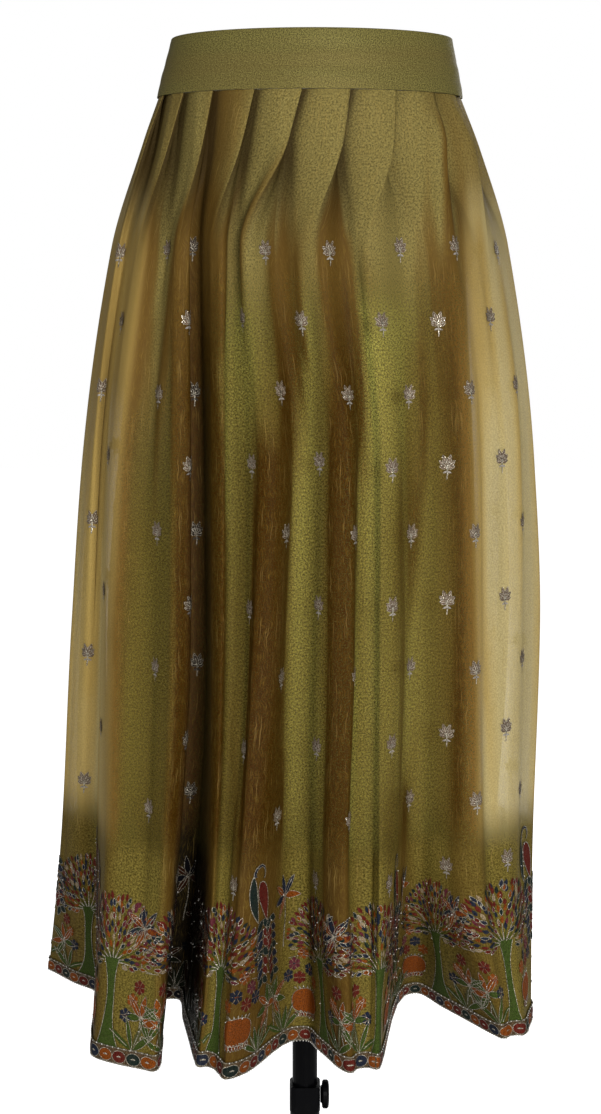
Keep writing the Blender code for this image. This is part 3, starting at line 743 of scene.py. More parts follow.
def lining_tissue(woven):
    material, tree, surface = new_material("olive lining tissue", 0.46, 0.4, 0.03)
    threads = shared(tree, woven, attribute(tree, "cut").outputs["Vector"])
    body = grained(tree, threads["Grain"], LINING_GREEN, 0.12, 1.95)
    body = tint(tree, maths(tree, "MULTIPLY", threads["Cloud"], 0.3), body, LINING_GOLD)
    tree.links.new(body, surface.inputs["Base Color"])
    bump(tree, surface, threads["Grain"], 0.12 * MM, 0.5)
    return material


def band_tissue(woven):
    material, tree, surface = new_material("olive gold waistband", 0.5, 0.15, 0.05)
    place = finer(tree, attribute(tree, "cut").outputs["Vector"], 1.6)
    pale = attribute(tree, "cover").outputs["Fac"]
    threads = shared(tree, woven, place)
    body = tint(tree, threads["Grain"], *BAND_GROUND)
    body = tint(tree, maths(tree, "MULTIPLY", threads["Cloud"], 0.35), body, BAND_BROWN)
    body = tint(tree, maths(tree, "MULTIPLY", threads["Slub"], 0.2), body, BAND_THREAD)
    # painted highlight where the back strip shows past the front strip's end
    body = tint(tree, pale, body, BAND_PAINTED_HIGHLIGHT_EDGE)
    tree.links.new(body, surface.inputs["Base Color"])
    bump(tree, surface, maths(tree, "ADD", threads["Warp"], threads["Grain"]), 0.12 * MM, 0.5)
    return material


def trim_ground(woven):
    material, tree, surface = new_material("hem trim ground", 0.55, 0.0, 0.06)
    threads = shared(tree, woven, attribute(tree, "cut").outputs["Vector"])
    body = tint(tree, threads["Grain"], *TRIM_GROUND)
    body = tint(tree, maths(tree, "MULTIPLY", threads["Slub"], 0.35), body, TRIM_THREAD)
    tree.links.new(body, surface.inputs["Base Color"])
    bump(tree, surface, maths(tree, "ADD", threads["Slub"], threads["Grain"]), 0.2 * MM, 0.6)
    return material


SILKS = {
    "navy silk": (0.008, 0.013, 0.026),
    "teal silk": (0.006, 0.015, 0.013),
    "maroon silk": (0.085, 0.009, 0.006),
    "wine silk": (0.090, 0.015, 0.024),
    "orange silk": (0.170, 0.040, 0.004),
    "green silk": (0.032, 0.054, 0.008),
    "grey green silk": (0.060, 0.062, 0.020),
    "mauve silk": (0.130, 0.085, 0.055),
    "pale silk": (0.230, 0.170, 0.100),
    "grey silk": (0.270, 0.245, 0.215),
}


def silk(name, colour, stitched):
    material, tree, surface = new_material(name, 0.65, 0.0, 0.03)
    stitches = shared(tree, stitched, own_place(tree))
    body = grained(tree, stitches["Height"], colour, 0.60, 1.45)
    body = tint(tree, maths(tree, "MULTIPLY", stitches["Patch"], 0.07), body, SILK_WORN)
    shade = maths(tree, "MULTIPLY", attribute(tree, "shade").outputs["Fac"], 0.85)
    body = tint(tree, shade, body, SILK_SHADE)
    tree.links.new(body, surface.inputs["Base Color"])
    bump(tree, surface, stitches["Height"], 0.25 * MM, 0.7)
    return material


def silver_cord(stitched, name, colours):
    material, tree, surface = new_material(name, 0.38, 0.0, 0.3)
    stitches = shared(tree, stitched, own_place(tree))
    body = tint(tree, stitches["Height"], *colours)
    tree.links.new(body, surface.inputs["Base Color"])
    tree.links.new(ranged(tree, stitches["Patch"], 0.3, 0.9, 0.15, 0.85), surface.inputs["Metallic"])
    tree.links.new(ranged(tree, stitches["Patch"], 0.2, 0.9, 0.42, 0.20), surface.inputs["Roughness"])
    bump(tree, surface, stitches["Height"], 0.3 * MM, 0.8)
    return material


def glass_bead_with_painted_glint(stitched):
    # near-white colour: painted glints on the clear beads
    material, tree, surface = new_material("clear bead with painted glint", 0.12, 0.0, 0.6)
    stitches = shared(tree, stitched, own_place(tree))
    body = tint(tree, stitches["Patch"], *BEAD_WITH_PAINTED_GLINT)
    tree.links.new(body, surface.inputs["Base Color"])
    tree.links.new(ranged(tree, stitches["Height"], 0.0, 1.0, 0.08, 0.25), surface.inputs["Roughness"])
    return material


def jersey(woven):
    material, tree, surface = new_material("form jersey", 0.75, 0.0, 0.25)
    upright = {"Vector": own_place(tree), "Rotation": (math.pi / 2, 0, 0)}
    threads = shared(tree, woven, put(tree, "ShaderNodeMapping", upright).outputs[0])
    body = tint(tree, threads["Grain"], *JERSEY)
    tree.links.new(body, surface.inputs["Base Color"])
    bump(tree, surface, threads["Grain"], 0.2 * MM, 0.5)
    return material


def stand_black(name, worn, roughness, metallic):
    material, tree, surface = new_material(name, roughness, metallic, 0.06)
    marks = shared(tree, worn, own_place(tree))
    body = tint(tree, maths(tree, "MULTIPLY", marks["Dust"], 0.15), STAND_BLACK, STAND_DUST)
    body = tint(tree, maths(tree, "MULTIPLY", marks["Rub"], 0.3), body, STAND_RUBBED)
    tree.links.new(body, surface.inputs["Base Color"])
    rough = ranged(tree, marks["Rub"], 0.0, 1.0, roughness - 0.08, roughness + 0.14)
    tree.links.new(rough, surface.inputs["Roughness"])
    bump(tree, surface, marks["Fine"], 0.05 * MM, 0.4)
    return material


# Making pieces


def new_piece(name, points, faces, materials, polygon_materials=None, data=None):
    """A mesh object that rides on the moving upper body. data holds named values for each point."""
    mesh = bpy.data.meshes.new(name)
    corners = [tuple(int(i) for i in face) for face in faces]
    mesh.from_pydata([tuple(point) for point in np.asarray(points, float)], [], corners)
    mesh.polygons.foreach_set("use_smooth", [True] * len(mesh.polygons))
    for material in materials:
        mesh.materials.append(material)
    if polygon_materials is not None:
        mesh.polygons.foreach_set("material_index", np.asarray(polygon_materials, np.int32))
    for key, values in (data or {}).items():
        values = np.asarray(values, np.float32)
        kind, field = ("FLOAT_VECTOR", "vector") if values.ndim == 2 else ("FLOAT", "value")
        mesh.attributes.new(key, kind, "POINT").data.foreach_set(field, values.ravel())
    mesh.update()
    piece = bpy.data.objects.new(name, mesh)
    bpy.context.scene.collection.objects.link(piece)
    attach(piece, "upper")
    return piece


def grid_faces(rows, columns, closed=False):
    """Quads of a grid of points, facing out where its rows run down and its columns counter-clockwise."""
    r, c = np.meshgrid(np.arange(rows - 1), np.arange(columns if closed else columns - 1), indexing="ij")
    n = (c + 1) % columns
    corners = [r * columns + c, (r + 1) * columns + c, (r + 1) * columns + n, r * columns + n]
    return np.stack(corners, axis=2).reshape(-1, 4)


def grid_piece(name, grid, material, data):
    """A piece from a grid of points, (row, column, xyz)."""
    return new_piece(name, grid.reshape(-1, 3), grid_faces(*grid.shape[:2]), [material], data=data)


PAST_LINING = (-32 * MM, 6 * MM)  # from the lining's side, where the organza passes into a bare veil


def panel_columns(cloth, half):
    """Columns of a panel from seam to seam, within one turn, and their places across the cut cloth."""
    start, stop = cloth.side(half)
    columns = np.arange(start, stop + 1)
    held = columns % cloth.columns
    return held, cloth.thread[:, held] + (columns // cloth.columns) * cloth.thread[:, -1:]


def cut_places(across, heights):
    """Each point's place on the cut cloth."""
    heights = np.broadcast_to(heights[:, None], across.shape)
    return np.stack([across, heights, np.zeros(across.shape)], axis=2).reshape(-1, 3)


def organza_data(cloth, held, points, across):
    """What the organza's material reads at each point of a panel."""
    x, z = points[..., 0], points[..., 2]
    to_left, to_right = smooth(-x, 0.10, 0.15), smooth(x, 0.13, 0.19)
    middle = smooth(z, *GATHER_MIDDLE) * (1 - to_left) + smooth(z, *GATHER_LEFT) * to_left
    lining = [row_at(LINING, height) for height in cloth.heights]
    centre, half_width = (np.array([getattr(row, key) for row in lining])[:, None] for key in ("cx", "a"))
    veil = smooth(np.abs(x - centre) - half_width, *PAST_LINING)
    return {
        "cut": cut_places(across, cloth.heights),
        "cover": cloth.cover[:, held].ravel(),
        "border": (1 - smooth(z, *BORDER_TOP)).ravel(),
        "gather": (middle * (1 - to_right) + smooth(z, *GATHER_RIGHT) * to_right).ravel(),
        "shade": (cloth.shade[:, held] * smooth(z, *PLEAT_SHADE_FOOT)).ravel(),
        # past the lining's side: the organza turns see-through there and takes its painted glow
        "sheer": (veil * (1 - 0.5 * smooth(z, *VEIL_TOP))).ravel(),
    }


def skirt_panel(cloth, half, material):
    held, across = panel_columns(cloth, half)
    points = cloth.points[:, held]
    data = organza_data(cloth, held, points, across)
    piece = grid_piece(f"organza_{half}", points, material, data)
    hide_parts(f"skirt_{half}")


TRIM_SWELL = (0.7, 1.3, 1.4, 1.3, 0.8)  # how far each row of the trim stands off the organza, mm


def trim_band(cloth, half, material):
    held, across = panel_columns(cloth, half)
    rows = slice(len(cloth.heights) - len(TRIM_SWELL), None)
    swell = np.array(TRIM_SWELL)[:, None, None] * MM
    points = cloth.points[rows][:, held] + cloth.out[rows][:, held] * swell
    data = {"cut": cut_places(across[rows], cloth.heights[rows])}
    piece = grid_piece(f"trim_{half}", points, material, data)
    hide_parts(f"hem_trim_{half}")


def lining_panels(material):
    heights = np.linspace(Z_SEAM, Z_LINING_HEM, 90)
    half_columns = 130
    degrees = -90 + 180 * np.arange(2 * half_columns + 1) / half_columns
    grid = np.zeros((len(heights), len(degrees), 3))
    for r, z in enumerate(heights):
        row = row_at(LINING, z)
        depth = np.where(np.arange(len(degrees)) <= half_columns, row.front, row.back)
        t = np.radians(degrees)
        uneven = 0.75 + 0.25 * np.cos(np.radians(2.3 * degrees + 40))
        reach = row.wave * np.cos(LINING_WAVES * t) * uneven
        x, y = row.a * np.sin(t), -depth * np.cos(t)
        swell = 1 + reach / np.hypot(x, y)
        grid[r] = np.stack([row.cx + x * swell, y * swell, np.full_like(x, z)], axis=1)
    walk = np.concatenate([[0], np.cumsum(np.linalg.norm(np.diff(grid[-1], axis=0), axis=1))])
    for half, first in (("front", 0), ("back", half_columns)):
        held = slice(first, first + half_columns + 1)
        part = grid[:, held]
        data = {"cut": cut_places(np.broadcast_to(walk[held], part.shape[:2]), heights)}
        piece = grid_piece(f"tissue_lining_{half}", part, material, data)
        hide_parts(f"lining_{half}")


BAND_WALL = 2.4 * MM
LAP_STEP = BAND_WALL + 0.3 * MM  # the underlap lies this far inside the front strip's end
PAINTED_HIGHLIGHT_EDGE = (84.0, 87.0)  # degrees round the waist at the underlap, where a pale line of painted highlight shows


def waistband(material):
    """Two strips folded double; at the viewer's right the front one ends over the back one."""
    # Places along each strip: degrees round the waist and how far inside its line it runs
    front = [(-90 + 174.0 * k / 116, 0.0) for k in range(117)]
    back = [(70 + k, LAP_STEP) for k in range(14)]
    back += [(84.0 + 7 * k / 8, LAP_STEP * (1 - float(smooth(k / 8, 0.1, 1.0)))) for k in range(9)]
    back += [(91 + 179.0 * k / 119, 0.0) for k in range(1, 120)]
    half = BAND_WALL / 2
    foot, shoulder = Z_SEAM + 0.3 * MM, Z_WAIST - half
    section = [(half, foot + (shoulder - foot) * k / 14) for k in range(15)]
    turn = np.linspace(0.3, math.pi - 0.3, 7)
    section += [(half * math.cos(a), shoulder + half * math.sin(a)) for a in turn]
    section += [(-half, z) for _, z in section[14::-1]]
    for name, stations in (("front", front), ("back", back)):
        grid, place, pale = [], [], []
        for out, z in section:
            oval = row_at((WAIST_TOP, WAIST_SEAM), z)
            line = np.array([oval_point(oval, degrees, inset) for degrees, inset in stations])
            along = np.gradient(line, axis=0)
            normal = np.stack([along[:, 1], -along[:, 0]], axis=1)
            normal /= np.linalg.norm(normal, axis=1, keepdims=True)
            walk = np.concatenate([[0], np.cumsum(np.linalg.norm(np.diff(line, axis=0), axis=1))])
            level = (z - Z_SEAM) / (Z_WAIST - Z_SEAM)
            wave = np.sin(walk * 46 + 3 * level) * np.sin(walk * 17 + 5 * level)
            wave += 0.6 * np.sin(walk * 12 + 21 * level)
            dent = 0.4 * MM * wave * math.sin(math.pi * level)
            outside = out > 0
            pinch = 0.5 * MM * (1 - min(level / 0.12, 1.0)) if outside else 0.0
            line = line + normal * (out + dent - pinch)[:, None]
            grid.append(np.column_stack([line, np.full(len(line), z)]))
            up_the_cut = z if outside else z + 0.2
            place.append(np.column_stack([np.full(len(line), up_the_cut), walk, np.zeros(len(line))]))
            # a pale line of painted highlight on the back strip's outside, by the front strip's end
            edge, edge_end = PAINTED_HIGHLIGHT_EDGE if name == "back" and outside else (0.0, 0.0)
            pale.append([0.6 if edge < degrees < edge_end else 0.0 for degrees, _ in stations])
        faces = grid_faces(len(section), len(stations))[:, ::-1]
        piece = new_piece(f"band_{name}", np.concatenate(grid), faces, [material],
                          data={"cut": np.concatenate(place), "cover": np.ravel(pale)})
        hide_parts(f"waistband_{name}")


# Embroidery: each motif is drawn flat as (across, up, lift) and laid on the cloth


def sideways(spine):
    """Unit directions to the right of a flat line."""
    along = np.gradient(spine, axis=0)
    side = np.stack([along[:, 1], -along[:, 0]], axis=1)
    return side / np.maximum(np.linalg.norm(side, axis=1, keepdims=True), 1e-9)


class Motif:
    """Flat shapes in metres with the silk of each."""

    def __init__(self):
        self.points, self.faces, self.silks = [], [], []

    def strip(self, spine, halves, silk_name, across=2, lift=0.8, crown=0.25):
        """A shape along a spine, with its half width at each point; `crown` mm higher along its middle."""
        spine, halves = np.asarray(spine, float), np.asarray(halves, float)
        side = sideways(spine)
        base, rows = len(self.points), len(spine)
        for i in range(rows):
            for k in range(across + 1):
                share = 2 * k / across - 1
                x, y = spine[i] + side[i] * halves[i] * share
                self.points.append((x, y, (lift + crown * (1 - share * share)) * MM))
        width = across + 1
        for i in range(rows - 1):
            for k in range(across):
                a = base + i * width + k
                self.faces.append((a, a + 1, a + 1 + width, a + width))
                self.silks.append(silk_name)

    def leaf(self, foot, angle, length, width, silk_name, outline=True, steps=6, vein=False):
        """A pointed leaf from its foot, at an angle from straight up."""
        t = np.linspace(0, 1, steps)
        way = math.radians(angle)
        spine = np.asarray(foot) + np.outer(t * length, (math.sin(way), math.cos(way)))
        halves = width / 2 * np.sin(np.pi * t ** 0.85) ** 0.8
        halves[[0, -1]] = 0.12 * MM
        self.strip(spine, halves, silk_name)
        if outline:
            self.edge(spine, halves)
        if vein:
            self.strip(spine[1:-1], np.full(steps - 2, 0.35 * MM), "silver", 1, 1.1, 0.0)

    def edge(self, spine, halves, half=0.24):
        """Silver cord along both sides of a shape."""
        for sign in (-1, 1):
            line = spine + sideways(spine) * (halves * sign)[:, None]
            self.strip(line, np.full(len(line), half * MM), "silver", 1, 1.15, 0.0)

    def disc(self, centre, radius, silk_name, outline=True, squash=1.0, points=12):
        """A round or oval patch."""
        t = np.linspace(0, math.pi, max(points // 2, 4))
        spine = np.stack([centre[0] - radius * np.cos(t), np.full_like(t, centre[1])], axis=1)
        halves = radius * squash * np.sin(t)
        halves[[0, -1]] = 0.1 * MM
        self.strip(spine, halves, silk_name, 2)
        if outline:
            self.edge(spine, halves, 0.3)

    def turned(self):
        """The same motif, mirrored left to right."""
        made = Motif()
        made.points = [(-x, y, lift) for x, y, lift in self.points]
        made.faces = [face[::-1] for face in self.faces]
        made.silks = self.silks
        return made

    def raised(self, by):
        """The same motif, further off the cloth."""
        made = Motif()
        made.points = [(x, y, lift + by) for x, y, lift in self.points]
        made.faces, made.silks = self.faces, self.silks
        return made


def sprig():
    """A small leafy bud on a short stalk."""
    made = Motif()
    for angle, length in ((-84, 7.7), (-50, 10.45), (-18, 13.2), (18, 13.2), (50, 10.45), (84, 7.7)):
        made.leaf((0, 2 * MM), angle, length * MM, 4.8 * MM, "mauve silk", vein=True)
    stalk = np.array([(0, 3), (0.3, -4), (-0.2, -10)]) * MM
    made.strip(stalk, np.array([0.8, 0.7, 0.5]) * MM, "silver", 1)
    for sign in (-1, 1):
        made.leaf((0, -2 * MM), sign * 112, 4.8 * MM, 2.2 * MM, "grey silk", outline=False, steps=4)
    return made


def rosette(silk_name, radius, heart="orange silk"):
    """A small scalloped flower."""
    made = Motif()
    for k in range(6):
        made.leaf((0, 0), 60 * k, radius, radius * 0.95, silk_name, outline=False, steps=5)
    for k in range(6):
        made.leaf((0, 0), 60 * k + 30, radius * 1.05, 0.9 * MM, "pale silk", outline=False, steps=3)
    made.disc((0, 0), radius * 0.34, heart, outline=False, points=8)
    return made


TRUNK_HALVES = (12.5, 9.0, 6.6, 5.2, 4.5, 4.2, 4.2, 4.8, 6.4, 9.0)  # mm, from the foot up
CANOPY_SILKS = (
    "maroon silk", "navy silk", "orange silk", "wine silk", "pale silk", "maroon silk", "teal silk",
    "maroon silk", "navy silk",
)


def fan_tree(draw):
    """A small tree: flared trunk and a fan of little leaves in rows."""
    made = Motif()
    top = 88 * MM
    spine = [(0.6 * MM * math.sin(k * 0.45), top * k / 18) for k in range(19)]
    halves = np.interp(np.arange(19) / 2, np.arange(10), TRUNK_HALVES)
    made.strip(spine, halves * MM, "green silk", 10)
    made.edge(np.array(spine), halves * MM, 0.32)
    for angle in range(-96, 97, 12):
        ahead = np.array((math.sin(math.radians(angle)), 0.94 * math.cos(math.radians(angle))))
        twig = np.array((0.05 * angle * MM, top - 3 * MM)) + np.outer((0, 12, 26, 40, 56), ahead) * MM
        silk_name = "green silk" if angle % 24 else "silver"
        made.strip(twig, np.array([0.9, 0.5, 0.35, 0.3, 0.25]) * MM, silk_name, 1, 0.7)
    for ring, radius in enumerate((13, 20, 27, 34, 41, 48, 55, 61)):
        reach = 116 - 5.5 * ring
        count = int(radius * math.radians(2 * reach) / 5.4)
        for k in range(count + 1):
            angle = -reach + 2 * reach * k / count + draw.uniform(-2, 2)
            r, t = (radius + draw.uniform(-1.6, 1.6)) * MM, math.radians(angle)
            foot = (r * math.sin(t), top + r * math.cos(t) * 0.94)
            silk_name = draw.choice(CANOPY_SILKS)
            lean = angle + draw.uniform(-14, 14)
            length, width = draw.uniform(7.0, 9.5) * MM, draw.uniform(3.4, 4.6) * MM
            made.leaf(foot, lean, length, width, silk_name, outline=k % 3 == 0, steps=4)
    return made


def curled_bud():
    """A pointed bud in two colours, with a curled tip and two falling sprays of leaves."""
    made = Motif()
    t = np.linspace(0, 1, 10)
    spine = np.stack([(-2 + 19 * t) * MM, (32 - 42 * t + 6 * np.sin(np.pi * t)) * MM], axis=1)
    halves = 9.0 * MM * np.sin(np.pi * t ** 0.8) ** 0.9 + 0.15 * MM
    made.strip(spine, halves, "maroon silk", 4)
    made.edge(spine, halves, 0.42)
    outer = np.stack([(-13.5 + 15 * t * t + 1.5 * np.cos(np.pi * t)) * MM, (40 - 50 * t) * MM], axis=1)
    outer_half = 5.4 * MM * np.sin(np.pi * t ** 0.9) ** 0.8 + 0.15 * MM
    made.strip(outer, outer_half, "teal silk", 3)
    made.edge(outer, outer_half, 0.42)
    turn = np.radians(np.linspace(200, -40, 9))
    curl = np.stack([(-1 + 9.5 * np.cos(turn)) * MM, (41 + 8.5 * np.sin(turn)) * MM], axis=1)
    made.strip(curl, np.linspace(1.8, 0.6, 9) * MM, "navy silk", 2)
    made.edge(curl, np.linspace(1.8, 0.6, 9) * MM, 0.3)
    silks = ("maroon silk", "navy silk")
    for start, pair_silks, lean in ((9, silks, 10), (24, silks[::-1], 26)):
        for k in range(7):
            foot = ((start + 6.8 * k * math.sin(math.radians(lean))) * MM, (-8 - 10.2 * k) * MM)
            for sign, silk_name in zip((-1, 1), pair_silks):
                silk_name = silk_name if k % 3 else "teal silk"
                made.leaf(foot, 180 + sign * 46 - lean, (17.5 - 0.6 * k) * MM, 8.2 * MM, silk_name)
    return made


def star_flower(stalk, silks=("navy silk", "orange silk")):
    """Pointed leaves round a small heart, on a pale stalk."""
    made = Motif()
    for k, angle in enumerate((-150, -108, -58, -12, 38, 92)):
        silk_name = silks[1] if k in (0, 2, 5) else silks[0]
        made.leaf((0, 0), angle, (26 - 2.5 * (k % 2)) * MM, 7.4 * MM, silk_name, steps=7, vein=k % 2 == 0)
    made.disc((0, 0), 2.4 * MM, "mauve silk", points=8)
    line = [(1.5 * MM * math.sin(k * 0.8), -stalk * k / 6) for k in range(7)]
    made.strip(line, [0.7 * MM] * 7, "silver", 1)
    return made


def marigold():
    """A half-round flower head with a scalloped foot."""
    made = Motif()
    t = np.linspace(0, math.pi, 27)
    spine = np.stack([-18 * MM * np.cos(t), np.full_like(t, 14 * MM)], axis=1)
    halves = 14 * MM * np.sin(t) ** 0.7 + 0.15 * MM
    made.strip(spine, halves, "orange silk", 16)
    made.edge(spine, halves, 0.32)
    for k in range(9):
        silk_name = "orange silk" if k % 2 else "maroon silk"
        foot = ((-14 + 3.5 * k) * MM, 2 * MM)
        made.leaf(foot, 180 + (k - 4) * 6, 7 * MM, 3.0 * MM, silk_name, steps=4)
    for k in range(7):
        foot = ((-12 + 4 * k) * MM, 27 * MM)
        made.leaf(foot, (k - 3) * 16, 4 * MM, 1.8 * MM, "silver", outline=False, steps=4)
    return made


def grass_tuft(draw, blades=6):
    made = Motif()
    for k in range(blades):
        angle = -56 + 112 * k / (blades - 1) + draw.uniform(-6, 6)
        length, width = draw.uniform(26, 42) * MM, draw.uniform(5.0, 7.0) * MM
        silk_name = "grey green silk" if k % 3 == 1 else "green silk"
        foot = (0.8 * (k - blades / 2) * MM, 0)
        made.leaf(foot, angle, length, width, silk_name, outline=k % 2 == 0, steps=7, vein=k % 2 == 1)
    return made


def laid_motifs(name, cloth, places, materials):
    """One piece from many motifs, each at (motif, way round, height, height where the way is measured)."""
    names = list(materials)
    points, faces, silks, shades, base = [], [], [], [], 0
    for motif, way, z, measure in places:
        flat = np.array(motif.points)
        laid, shade = cloth.laid(flat, way, z, measure)
        points.append(laid)
        shades.append(shade)
        faces.append(np.array(motif.faces) + base)
        silks += [names.index(s) for s in motif.silks]
        base += len(flat)
    new_piece(name, np.concatenate(points), np.concatenate(faces), [materials[n] for n in names],
              polygon_materials=silks, data={"shade": np.concatenate(shades)})


# Sprigs stand in rows; odd rows are set between the even ones. across: 0 ridge, 1 valley, 2 next ridge
SprigPlace = namedtuple("SprigPlace", "fold across")
EVEN_SPRIGS = (
    SprigPlace("left_side", 0.4), SprigPlace("left_front", 1.3), SprigPlace("left_deep", 1.0),
    SprigPlace("middle", 0.5), SprigPlace("right_of_middle", 0.35), SprigPlace("right_deep", 0.9),
    SprigPlace("right_front", 0.2), SprigPlace("right_side", 0.5),
)
ODD_SPRIGS = (
    SprigPlace("left_side", 1.5), SprigPlace("left_deep", 0.15), SprigPlace("left_of_middle", 1.5),
    SprigPlace("middle", 1.45), SprigPlace("right_deep", 0.1), SprigPlace("right_deep", 1.6),
    SprigPlace("right_front", 1.6),
)
SPRIG_TOP, SPRIG_STEP, SPRIG_ROWS = 1.191, 0.0705, 10


def sprig_places(cloth, half):
    ridge, valley = 1.5 * STEPS, 3.5 * STEPS
    order = list(cloth.starts)
    bud, places = sprig(), []
    for k in range(SPRIG_ROWS):
        z = SPRIG_TOP - SPRIG_STEP * k
        if half == "front":
            row = ODD_SPRIGS if k % 2 else EVEN_SPRIGS
        else:
            row = [SprigPlace(fold.name, 1.35 if k % 2 else 0.3) for fold in BACK_FOLDS]
        for place in row:
            start = cloth.starts[place.fold] * STEPS
            after = order[(order.index(place.fold) + 1) % len(order)]
            following = cloth.starts[after] * STEPS + (0 if after in ("left", "right") else ridge)
            if following < start:
                following += cloth.columns
            ways = [cloth.way_at(z, c) for c in (start + ridge, start + valley, following)]
            way = float(np.interp(place.across, (0, 1, 2), ways))
            wobble = 3 * MM * math.sin(7 * k + start)
            places.append((bud, way, z + wobble, z))
    return places


BORDER_MEASURE = 0.47  # height at which the ways along the border are measured
BORDER_UNIT = 0.150
BORDER_START = 14 * MM
BORDER_MARGIN = 12 * MM  # kept free at the side seams

# Flowers of one unit: mm across from its middle and up from the trim
RosettePlace = namedtuple("RosettePlace", "across up silk heart")
ROSETTES = (
    RosettePlace(12, 66, "navy silk", "orange silk"), RosettePlace(25, 56, "maroon silk", "orange silk"),
    RosettePlace(1, 55, "orange silk", "navy silk"), RosettePlace(31, 72, "wine silk", "navy silk"),
    RosettePlace(39, 60, "navy silk", "orange silk"), RosettePlace(-50, 50, "orange silk", "wine silk"),
    RosettePlace(-58, 64, "maroon silk", "navy silk"), RosettePlace(-42, 34, "navy silk", "wine silk"),
    RosettePlace(20, 84, "orange silk", "maroon silk"),
)


def border_places(cloth, half):
    """The border's motifs, in units along the hem; every other unit is turned."""
    draw = random.Random(7 if half == "front" else 8)
    start, stop = cloth.side(half)
    first, last = cloth.way_at(BORDER_MEASURE, start), cloth.way_at(BORDER_MEASURE, stop)
    units = round((last - first) / BORDER_UNIT)
    step = (last - first) / units
    trees = [fan_tree(random.Random(20 + k)) for k in range(3)]
    bud = curled_bud()
    places = []

    def set_down(motif, across, up, turned=False):
        if turned:
            motif, across = motif.turned(), -across
        places.append((motif, middle + across * MM, Z_TRIM_TOP + up * MM, BORDER_MEASURE))

    for k in range(units):
        middle = first + step * (k + 0.5) + BORDER_START
        turned = k % 2 == 1
        set_down(trees[k % 3], -22, 0, turned)
        set_down(marigold(), 16, 16, turned)
        for place in ROSETTES:
            set_down(rosette(place.silk, 7.6 * MM, place.heart), place.across, place.up, turned)
        set_down(grass_tuft(draw), 48, 1, turned)
        set_down(grass_tuft(draw, 4), -52, 1, turned)
        if turned:
            set_down(star_flower(56 * MM), -46, 150)
            set_down(star_flower(40 * MM), 60, 122)
        else:
            set_down(bud, 34, 146)
        set_down(star_flower(32 * MM, ("green silk", "orange silk")), 66, 44, turned)
        set_down(star_flower(26 * MM, ("orange silk", "green silk")), -62, 34, turned)
    return [place for place in places if first + BORDER_MARGIN < place[1] < last - BORDER_MARGIN]


TRIM_OVAL_STEP = 17.2 * MM
TRIM_OVAL_SILKS = ("orange silk", "maroon silk", "teal silk", "orange silk", "maroon silk", "navy silk")


def trim_places(cloth, half):
    middle = (Z_TRIM_TOP + Z_HEM) / 2
    start, stop = cloth.side(half)
    first, last = cloth.way_at(middle, start), cloth.way_at(middle, stop)
    count = round((last - first) / TRIM_OVAL_STEP)
    ovals = []
    for silk_name in TRIM_OVAL_SILKS:
        made = Motif()
        made.disc((0, 0), 8.2 * MM, silk_name, squash=0.74, points=22)
        bar = np.array([(-2.6, 0), (0, 0.4), (2.6, 0)]) * MM
        made.strip(bar, np.array([0.3, 0.9, 0.3]) * MM, "silver", 1, 1.2)
        ovals.append(made.raised(1.0 * MM))
    ways = first + (last - first) * (np.arange(count) + 0.5) / count
    return [(ovals[k % len(ovals)], way, middle, middle) for k, way in enumerate(ways)]


# Cords and rows of beads round the hem: height, radius and distance off the cloth, and between beads, mm
HemCord = namedtuple("HemCord", "name z radius lift")
HEM_CORDS = (
    HemCord("top_cord", Z_TRIM_TOP + 0.2 * MM, 0.8, 1.5),
    HemCord("foot_cord", Z_HEM + 1.2 * MM, 0.7, 1.4),
)
BeadRow = namedtuple("BeadRow", "name z radius lift apart")
BEAD_ROWS = (
    BeadRow("foot_beads", Z_HEM + 0.4 * MM, 0.7, 2.1, 3.9),
    BeadRow("top_beads", Z_TRIM_TOP + 0.4 * MM, 0.75, 2.0, 7.1),
)
CORD_SIDES = 6


def hem_cords(cloth, silver, beads):
    """One cord along the trim's top, another along its foot, and beads along both."""
    count = cloth.columns
    column = np.arange(count, dtype=float)
    for cord in HEM_CORDS:
        z, lift, radius = np.full(count, cord.z), cord.lift * MM, cord.radius * MM
        centre = cloth.at(z, column, np.full(count, lift))
        out = cloth.at(z, column, np.full(count, lift + 1.0)) - centre
        rings = []
        for k in range(CORD_SIDES):
            a = 2 * math.pi * k / CORD_SIDES
            rings.append(centre + out * radius * math.cos(a) + np.array((0, 0, 1)) * radius * math.sin(a))
        faces = grid_faces(CORD_SIDES + 1, count, closed=True) % (CORD_SIDES * count)
        new_piece(cord.name, np.concatenate(rings), faces, [silver])
    for row in BEAD_ROWS:
        girth = cloth.way_at(row.z, cloth.columns)
        count = int(girth / (row.apart * MM))
        column = cloth.column_at(row.z, np.arange(count) * girth / count)
        centres = cloth.at(np.full(count, row.z), column, np.full(count, row.lift * MM))
        bead_set(row.name, centres, row.radius * MM, beads)


def bead_set(name, centres, radius, beads):
    """Many small round beads as one piece."""
    shape = []
    for latitude in (-60, 0, 60):
        for k in range(6):
            a, b = math.radians(60 * k + latitude / 2), math.radians(latitude)
            shape.append((math.cos(a) * math.cos(b), math.sin(a) * math.cos(b), math.sin(b)))
    shape = np.array([*shape, (0, 0, -1), (0, 0, 1)]) * radius
    low_pole, high_pole = 18, 19
    sides = [(k, (k + 1) % 6) for k in range(6)]
    faces = [(ring + k, ring + n, ring + 6 + n, ring + 6 + k) for ring in (0, 6) for k, n in sides]
    faces += [(low_pole, n, k) for k, n in sides]
    faces += [(high_pole, 12 + k, 12 + n) for k, n in sides]
    points = (centres[:, None] + shape[None]).reshape(-1, 3)
    all_faces = [tuple(len(shape) * i + v for v in face) for i in range(len(centres)) for face in faces]
    new_piece(name, points, all_faces, [beads])


POINTS_TO_A_GLINT = 70


